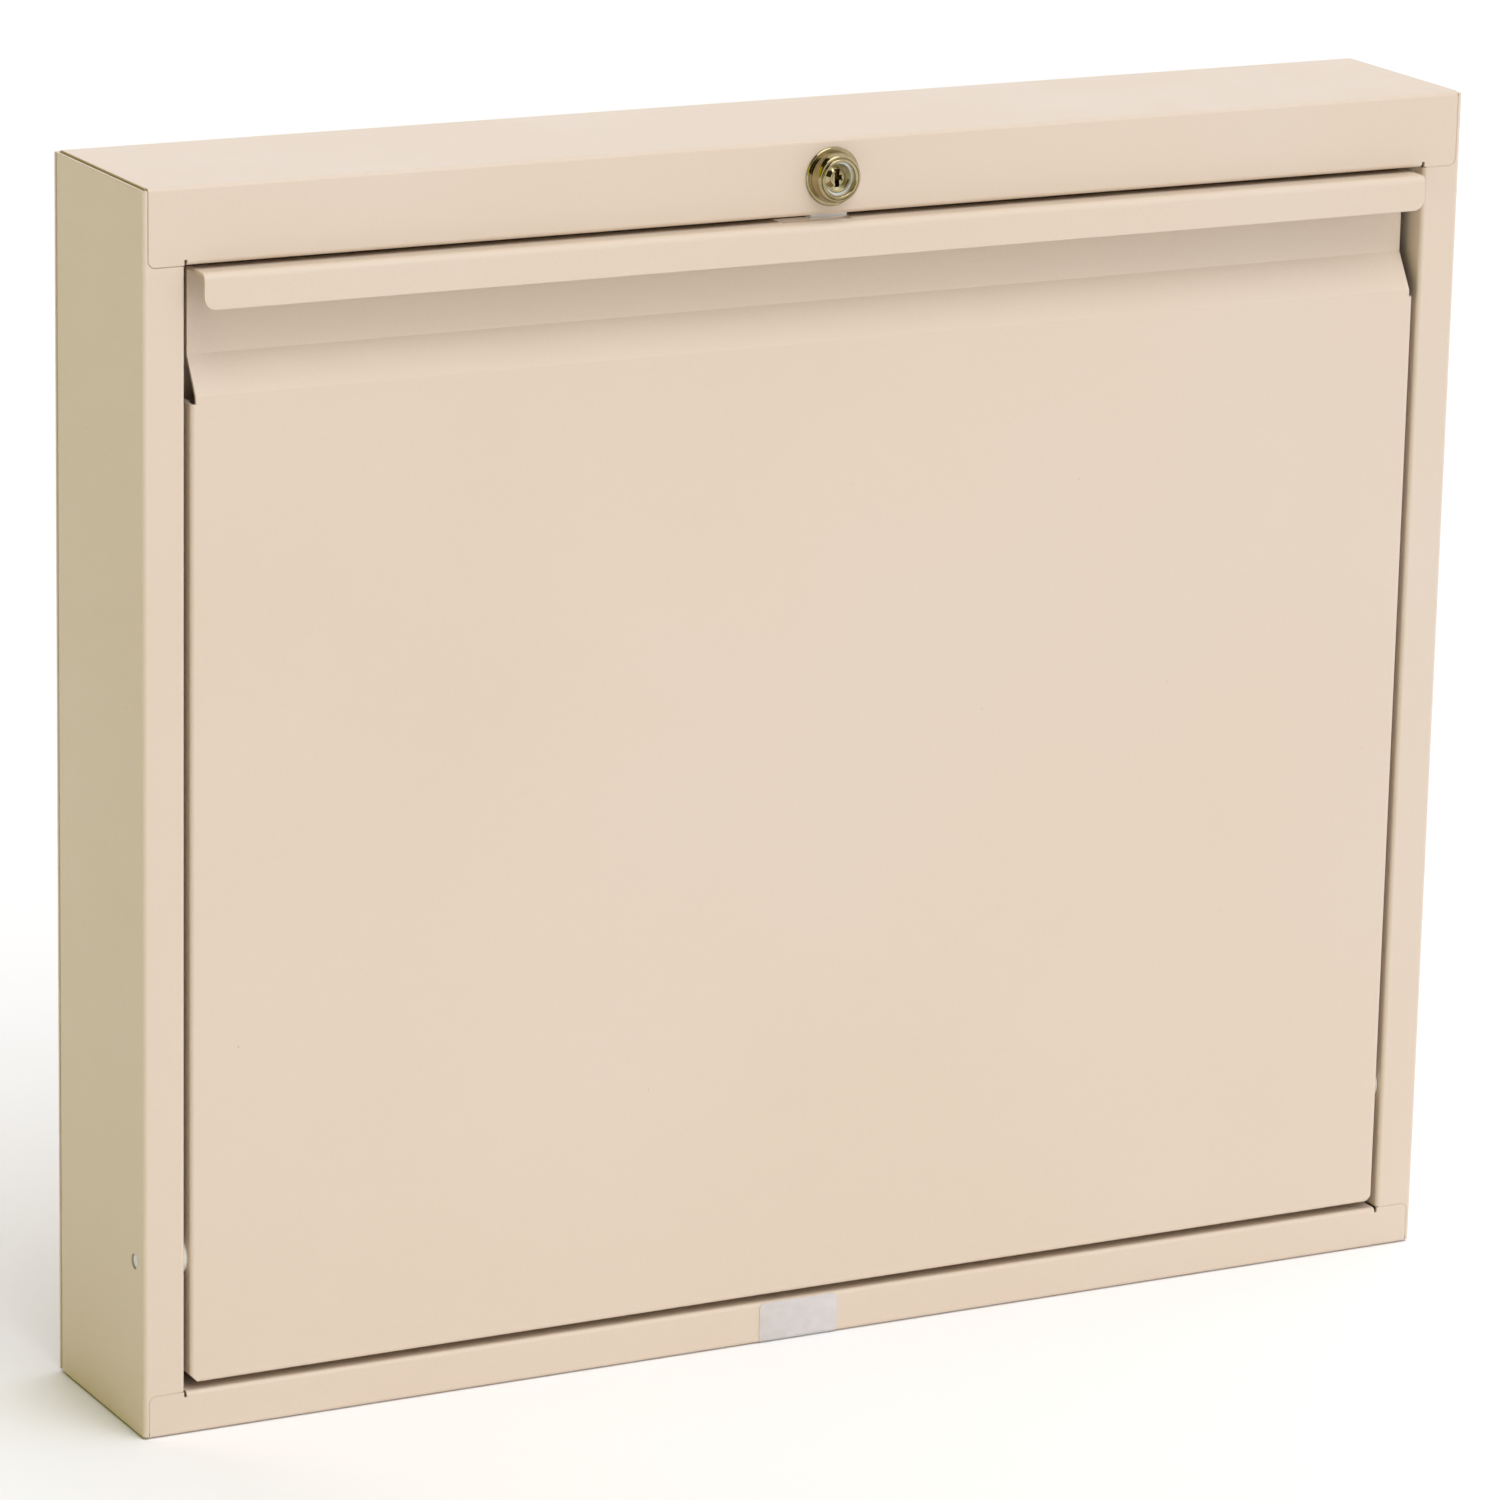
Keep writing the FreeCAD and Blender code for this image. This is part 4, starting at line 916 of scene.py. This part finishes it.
@dataclass
class PivotSet(Assembly):
    """Pins, bushes and push nuts on the door's pivot line."""

    segments: int = 48
    pin_mm: float = 6.35
    bore_mm: float = 6.45
    rim_mm: float = 13.8
    rim_thick_mm: float = 2.3
    sleeve_mm: float = 9.0
    nut_mm: float = 12.0

    def axis_point(self, x: float) -> Vector:
        """Give the point of the pivot line at one X."""
        centre = middle("pivot_bush_left")
        return Vector((x, centre.y, centre.z))

    def build_bush(self, node: str, side: float) -> None:
        """Turn one bush with a rounded rim."""
        low, high = corners(node)
        outer = high.x if side > 0 else low.x
        length = high.x - low.x
        rim = self.rim_mm * MM / 2
        thick = self.rim_thick_mm * MM
        bore = self.bore_mm * MM / 2
        sleeve = self.sleeve_mm * MM / 2
        round_off = 0.45 * MM
        section = [(0.0, bore + 0.3 * MM), (0.0, rim - round_off)]
        section += [
            (round_off * (1 - math.cos(angle)), rim - round_off * (1 - math.sin(angle)))
            for angle in (0.5, 1.0)
        ]
        section += [(round_off, rim), (thick - 0.15 * MM, rim), (thick, rim - 0.15 * MM), (thick, sleeve)]
        section += [(length - 0.5 * MM, sleeve), (length, sleeve - 0.4 * MM)]
        section += [(length, bore), (0.3 * MM, bore)]
        section = [(-side * along, radius) for along, radius in section]
        bush = turned(f"{node}_moulded", Axis.X, self.axis_point(outer), section, self.segments, ring=True)
        self.hand_in(bush, Body.DOOR, "nylon", node)

    def build_pin(self, node: str) -> None:
        """Turn one pin with domed ends."""
        low, high = corners(node)
        radius = self.pin_mm * MM / 2
        length = high.x - low.x
        dome = 0.5 * MM
        angles = (0.12, 0.5, 0.9, 1.25, math.pi / 2)
        front = [(dome * (1 - math.cos(angle)), radius * math.sin(angle)) for angle in angles]
        profile = front + [(length - along, size) for along, size in reversed(front)]
        pin = turned(f"{node}_turned", Axis.X, self.axis_point(low.x), profile, self.segments, ring=False)
        self.hand_in(pin, Body.CASE, "zinc_plated_steel", node)

    def build_nuts(self) -> None:
        """Turn the dished push nuts."""
        low, high = corners("push_nuts")
        outer = self.nut_mm * MM / 2
        bore = self.pin_mm * MM / 2
        nuts = []
        for start, side in ((low.x, 1.0), (high.x, -1.0)):
            section = [(0.0, outer), (0.0, outer * 0.78), (0.6 * MM, bore + 0.5 * MM), (0.75 * MM, bore)]
            section += [(1.0 * MM, bore), (0.95 * MM, bore + 0.6 * MM)]
            section += [(0.35 * MM, outer * 0.8), (0.35 * MM, outer)]
            section = [(side * along, radius) for along, radius in section]
            nuts.append(turned("push_nut", Axis.X, self.axis_point(start), section, self.segments, ring=True))
        self.hand_in(fuse(nuts, "push_nut_pair"), Body.CASE, "spring_steel", "push_nuts")

    def build(self) -> None:
        """Build both sides' pivot pieces."""
        for node, side in (("pivot_bush_left", -1.0), ("pivot_bush_right", 1.0)):
            self.build_bush(node, side)
        for node in ("pivot_pin_left", "pivot_pin_right"):
            self.build_pin(node)
        self.build_nuts()


@dataclass
class SillLabel(Assembly):
    """Blank vinyl label that is stuck on the sill and wraps round its lower edge."""

    corner_mm: float = 2.6
    bend_mm: float = 1.8
    film_mm: float = 0.25
    wrap_deg: float = 62.0
    tail_steps: int = 8
    touch_mm: float = 0.01
    turn_touch: float = 0.01
    edge_mm: float = 0.06

    def build(self) -> None:
        """Lay the film on the sill's face, spin its tail round the bend, shape its corners and thicken it."""
        low, high = corners("label_plate")
        sill = corners("bottom_panel")[0]
        bend = self.bend_mm * MM
        pivot = Vector(((low.x + high.x) / 2, sill.y + bend, sill.z + bend))
        deselect()
        bpy.ops.mesh.primitive_plane_add(
            size=1.0, location=(pivot.x, sill.y, (high.z + pivot.z) / 2), rotation=(math.pi / 2, 0.0, 0.0)
        )
        film = bpy.context.object
        film.scale = (high.x - low.x, high.z - pivot.z, 1.0)
        settle(film, "sill_label")
        edit(film, lambda point: abs(point.z - pivot.z) < self.touch_mm * MM)
        bpy.ops.mesh.spin(
            steps=self.tail_steps, angle=-math.radians(self.wrap_deg), center=pivot, axis=(1.0, 0.0, 0.0)
        )
        bpy.ops.mesh.select_all(action="SELECT")
        bpy.ops.mesh.remove_doubles(threshold=self.touch_mm * MM)
        bpy.ops.mesh.normals_make_consistent(inside=False)
        bpy.ops.object.mode_set(mode="OBJECT")
        self.round_tail(film, pivot)
        self.round_corners(film, high.z)
        self.face_out(film)
        apply_modifier(film, "SOLIDIFY", thickness=self.film_mm * MM, offset=1.0, use_even_offset=True)
        soften(film, self.edge_mm, 2)
        self.hand_in(film, Body.CASE, "label_vinyl", "label_plate")

    def turn_of(self, offset: Vector) -> float:
        """Give how far round the bend a point lies, from the bottom of the sill's face."""
        return math.atan2(-offset.z, -offset.y)

    def round_tail(self, film: Piece, pivot: Vector) -> None:
        """Narrow the wrapped tail step by step towards its end, which rounds its two corners."""
        reach = self.bend_mm * math.radians(self.wrap_deg)
        half = max(vertex.co.x for vertex in film.data.vertices) - pivot.x
        for step in range(1, self.tail_steps + 1):
            turn = math.radians(self.wrap_deg) * step / self.tail_steps
            short = reach * step / self.tail_steps
            inset = (reach - math.sqrt(reach**2 - short**2)) * MM
            edit(film, lambda point: abs(self.turn_of(point - pivot) - turn) < self.turn_touch)
            bpy.ops.transform.resize(value=(1.0 - inset / half, 1.0, 1.0), center_override=pivot)
        bpy.ops.object.mode_set(mode="OBJECT")

    def round_corners(self, film: Piece, top: float) -> None:
        """Round the film's two upper corners."""
        edit(film, lambda point: abs(point.z - top) < self.touch_mm * MM)
        bpy.ops.mesh.bevel(offset=self.corner_mm * MM, segments=6, affect="VERTICES")
        bpy.ops.object.mode_set(mode="OBJECT")

    def face_out(self, film: Piece) -> None:
        """Turn the film's faces towards the front, if they look the other way."""
        largest = max(film.data.polygons, key=lambda face: face.area)
        if largest.normal.y > 0:
            edit(film)
            bpy.ops.mesh.select_all(action="SELECT")
            bpy.ops.mesh.flip_normals()
            bpy.ops.object.mode_set(mode="OBJECT")


@dataclass(frozen=True)
class ScrewSize:
    """Sizes of a pan-head screw in millimetres."""

    head_mm: float
    rise_mm: float
    shank_mm: float
    length_mm: float


@dataclass
class Fasteners(Assembly):
    """Small screws and rivets, and the rubber stops."""

    segments: int = 32
    catch_screw: ScrewSize = ScrewSize(7.0, 2.0, 3.5, 35.0)
    cover_screw: ScrewSize = ScrewSize(4.4, 1.2, 2.5, 7.0)
    rivet: ScrewSize = ScrewSize(6.0, 0.8, 3.0, 3.0)
    rivet_count: int = 4
    stop_rim_mm: float = 0.6

    def cross_screw(self, name: str, axis: Axis, place: Vector, outward: float, size: ScrewSize) -> Piece:
        """Turn a pan-head screw and cut its cross recess.

        Args:
            name: the piece's name.
            axis: direction of the screw.
            place: centre of the head's seat.
            outward: +1 or -1, the way along the axis that the head stands.
            size: the screw's sizes.

        Returns:
            The screw.
        """
        head, rise = size.head_mm * MM, size.rise_mm * MM
        shank, length = size.shank_mm * MM, size.length_mm * MM
        profile = [
            (rise, head * 0.10),
            (rise * 0.97, head * 0.26),
            (rise * 0.82, head * 0.40),
            (rise * 0.45, head * 0.485),
            (rise * 0.12, head * 0.5),
            (0.0, head * 0.49),
            (0.0, shank / 2),
            (-length * 0.9, shank / 2),
            (-length, shank * 0.2),
        ]
        profile = [(outward * along, radius) for along, radius in profile]
        screw = turned(name, axis, place, profile, self.segments, ring=False)
        arm = head * 0.27
        half = head * 0.065
        seat = place + axis.along * outward * rise * 0.35
        reach = axis.along * outward * rise
        for spread in self.cross_arms(axis, arm, half):
            low = Vector(min(a, b) for a, b in zip(seat - spread, seat + reach - spread))
            high = Vector(max(a, b) for a, b in zip(seat + spread, seat + reach + spread))
            carve(screw, block("recess", low, high))
        smooth(screw, 32.0)
        return screw

    def cross_arms(self, axis: Axis, arm: float, half: float) -> list[Vector]:
        """Give the half sizes of a cross recess's two slots, square to the axis."""
        if axis is Axis.X:
            return [Vector((0.0, arm, half)), Vector((0.0, half, arm))]
        return [Vector((arm, 0.0, half)), Vector((half, 0.0, arm))]

    def build_catch_screws(self) -> None:
        """Build the four long screws through the catches."""
        low, high = corners("catch_screws")
        housing_low, housing_high = corners("catch_housings")
        head = self.catch_screw.head_mm * MM
        levels = (low.z + head / 2, high.z - head / 2)
        along = (low.y + high.y) / 2
        screws = []
        for side, wall in ((-1.0, housing_low.x), (1.0, housing_high.x)):
            seat = wall - side * self.catch_screw.length_mm * MM
            for level in levels:
                place = Vector((seat, along, level))
                screws.append(self.cross_screw("catch_screw", Axis.X, place, -side, self.catch_screw))
        self.hand_in(fuse(screws, "catch_pan_screws"), Body.CASE, "zinc_plated_steel", "catch_screws")

    def build_cover_screws(self) -> None:
        """Build the four small screws of the lock's cover."""
        low, high = corners("cover_screws")
        inset = self.cover_screw.head_mm * MM / 2
        seat = high.y - self.cover_screw.rise_mm * MM
        screws = [
            self.cross_screw("cover_screw", Axis.Y, Vector((across, seat, level)), 1.0, self.cover_screw)
            for across in (low.x + inset, high.x - inset)
            for level in (low.z + inset, high.z - inset)
        ]
        self.hand_in(fuse(screws, "cover_pan_screws"), Body.CASE, "zinc_plated_steel", "cover_screws")

    def build_rivets(self) -> None:
        """Build the liner's domed rivets."""
        low, high = corners("liner_rivets")
        radius = self.rivet.head_mm * MM / 2
        rise = self.rivet.rise_mm * MM
        shank = self.rivet.shank_mm * MM / 2
        length = self.rivet.length_mm * MM
        seat = high.y - rise
        level = (low.z + high.z) / 2
        span = high.x - low.x - 2 * radius
        rivets = []
        for number in range(self.rivet_count):
            place = Vector((low.x + radius + span * number / (self.rivet_count - 1), seat, level))
            profile = [
                (rise * 0.55, 0.55 * MM),
                (rise * 0.60, 0.85 * MM),
                (rise, 1.1 * MM),
                (rise * 0.92, radius * 0.6),
                (rise * 0.6, radius * 0.86),
                (rise * 0.15, radius),
                (0.0, radius * 0.97),
                (0.0, shank),
                (-length, shank),
                (-length, 0.4 * MM),
            ]
            rivets.append(turned("rivet", Axis.Y, place, profile, self.segments, ring=False))
        self.hand_in(fuse(rivets, "liner_blind_rivets"), Body.DOOR, "rivet_aluminium", "liner_rivets")

    def build_stops(self) -> None:
        """Mould the rubber stops with a rounded rim and a dished middle."""
        low, high = corners("stop_buffers")
        radius = (high.y - low.y) / 2
        thick = high.z - low.z
        along = (low.y + high.y) / 2
        rim = self.stop_rim_mm * MM
        stops = []
        for across in (low.x + radius, (low.x + high.x) / 2, high.x - radius):
            place = Vector((across, along, high.z))
            profile = [(-thick * 0.45, 0.8 * MM), (-thick * 0.45, 2.1 * MM), (-thick * 0.9, 2.5 * MM)]
            profile += [(-thick, 3.0 * MM), (-thick, radius - rim)]
            profile += [
                (-thick + rim * (1 - math.cos(angle)), radius - rim + rim * math.sin(angle))
                for angle in (0.4, 0.8, 1.2, math.pi / 2)
            ]
            profile += [(0.0, radius), (0.0, 0.6 * MM)]
            stops.append(turned("stop", Axis.Z, place, profile, self.segments, ring=False))
        self.hand_in(fuse(stops, "rubber_stops"), Body.CASE, "rubber", "stop_buffers")

    def build(self) -> None:
        """Build every fastener group."""
        self.build_catch_screws()
        self.build_cover_screws()
        self.build_rivets()
        self.build_stops()


@dataclass
class Studio:
    """Pale floor, soft lights and the camera."""

    floor_half: float = 14.0
    floor_drop_mm: float = 0.3
    floor_dull: str = "#FBFCFE"
    floor_clean: str = "#FDFDFE"
    floor_cloud_mm: float = 400.0
    floor_rough: float = 0.85
    camera_place: tuple[float, float, float] = (-1.3541, -2.6101, 0.7819)
    azimuth_deg: float = -27.68
    elevation_deg: float = 15.29
    roll_deg: float = 1.23
    lens_mm: float = 174.0
    sensor_mm: float = 36.0
    sight: float = 60.0
    sun_source: tuple[float, float, float] = (0.03, -0.50, 0.86)
    sun_spread_deg: float = 46.0
    sun_power: float = 1.2
    sun_colour: str = "#F8FAFF"
    wall_strength: float = 1.16
    walls: tuple[tuple[float, float, float, float], ...] = (
        (0.00, 0.60, 0.58, 0.01),
        (0.11, 0.60, 0.58, 0.01),
        (0.14, 0.05, 0.045, 0.01),
        (0.40, 0.04, 0.035, 0.02),
        (0.46, 1.00, 0.98, 1.00),
        (0.60, 1.02, 1.00, 1.04),
    )

    def build_floor(self) -> None:
        """Lay the pale floor under the desk."""
        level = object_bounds()[0][2] - self.floor_drop_mm * MM
        deselect()
        bpy.ops.mesh.primitive_plane_add(size=2 * self.floor_half, location=(0.0, 0.0, level))
        floor = settle(bpy.context.object, "studio_floor")
        finish = Finish("matt_white_floor_paint")
        material, tree, shader = finish.start(0.0, 1.45)
        cloud = finish.noise(tree, self.floor_cloud_mm, 2.0)
        finish.tint(tree, shader, cloud, [(0.3, srgb(self.floor_dull)), (0.7, srgb(self.floor_clean))])
        shader.inputs["Roughness"].default_value = self.floor_rough
        floor.data.materials.append(material)
        floor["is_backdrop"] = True

    def build_sun(self) -> None:
        """Add one wide soft light from above and in front of the desk."""
        data = bpy.data.lights.new("overhead", "SUN")
        data.angle = math.radians(self.sun_spread_deg)
        data.energy = self.sun_power
        data.color = srgb(self.sun_colour)[:3]
        lamp = bpy.data.objects.new("overhead", data)
        lamp.rotation_euler = Vector(self.sun_source).to_track_quat("Z", "Y").to_euler()
        bpy.context.collection.objects.link(lamp)

    def build_walls(self) -> None:
        """Surround the desk with white walls, a dark gap and an olive screen far on the left."""
        world = bpy.data.worlds.new("studio")
        bpy.context.scene.world = world
        world.use_nodes = True
        tree = world.node_tree
        towards = add_node(tree, "ShaderNodeTexCoord").outputs["Generated"]
        across = add_node(tree, "ShaderNodeSeparateXYZ", inputs={"Vector": towards}).outputs["X"]
        reach = {"Value": across, "From Min": -1.0, "From Max": 1.0}
        place = add_node(tree, "ShaderNodeMapRange", inputs=reach).outputs["Result"]
        walls = add_node(tree, "ShaderNodeValToRGB", inputs={"Fac": place})
        set_stops(walls, [(at, (red, green, blue, 1.0)) for at, red, green, blue in self.walls])
        tree.links.new(walls.outputs["Color"], tree.nodes["Background"].inputs["Color"])
        tree.nodes["Background"].inputs["Strength"].default_value = self.wall_strength

    def build_camera(self) -> None:
        """Set the camera at the desk's viewing angle."""
        data = bpy.data.cameras.new("camera")
        data.lens = self.lens_mm
        data.sensor_width = self.sensor_mm
        data.clip_end = self.sight
        camera = bpy.data.objects.new("camera", data)
        bpy.context.collection.objects.link(camera)
        angles = (self.azimuth_deg, self.elevation_deg, self.roll_deg)
        turn, rise, roll = (math.radians(angle) for angle in angles)
        back = Vector((math.sin(turn) * math.cos(rise), -math.cos(turn) * math.cos(rise), math.sin(rise)))
        aim = (-back).to_track_quat("-Z", "Y").to_matrix().to_4x4()
        camera.matrix_world = Matrix.Translation(self.camera_place) @ aim @ Matrix.Rotation(roll, 4, "Z")
        bpy.context.scene.camera = camera

    def build(self) -> None:
        """Build the studio and show colours as they are, without a film curve."""
        self.build_floor()
        self.build_sun()
        self.build_walls()
        self.build_camera()
        bpy.context.scene.view_settings.view_transform = "Standard"


def main() -> None:
    """Build every sub-assembly in order."""
    finishes = FinishBook().build()
    sheets = SheetMetal(finishes)
    sheets.dress_frame()
    sheets.build_seam_skins()
    sheets.build_welds()
    KeyLock(finishes).build()
    LockCase(finishes).build()
    Catches(finishes).build()
    WritingFace(finishes).build()
    PivotSet(finishes).build()
    SillLabel(finishes).build()
    Fasteners(finishes).build()
    Studio().build()
    deselect()


if __name__ == "__main__":
    main()
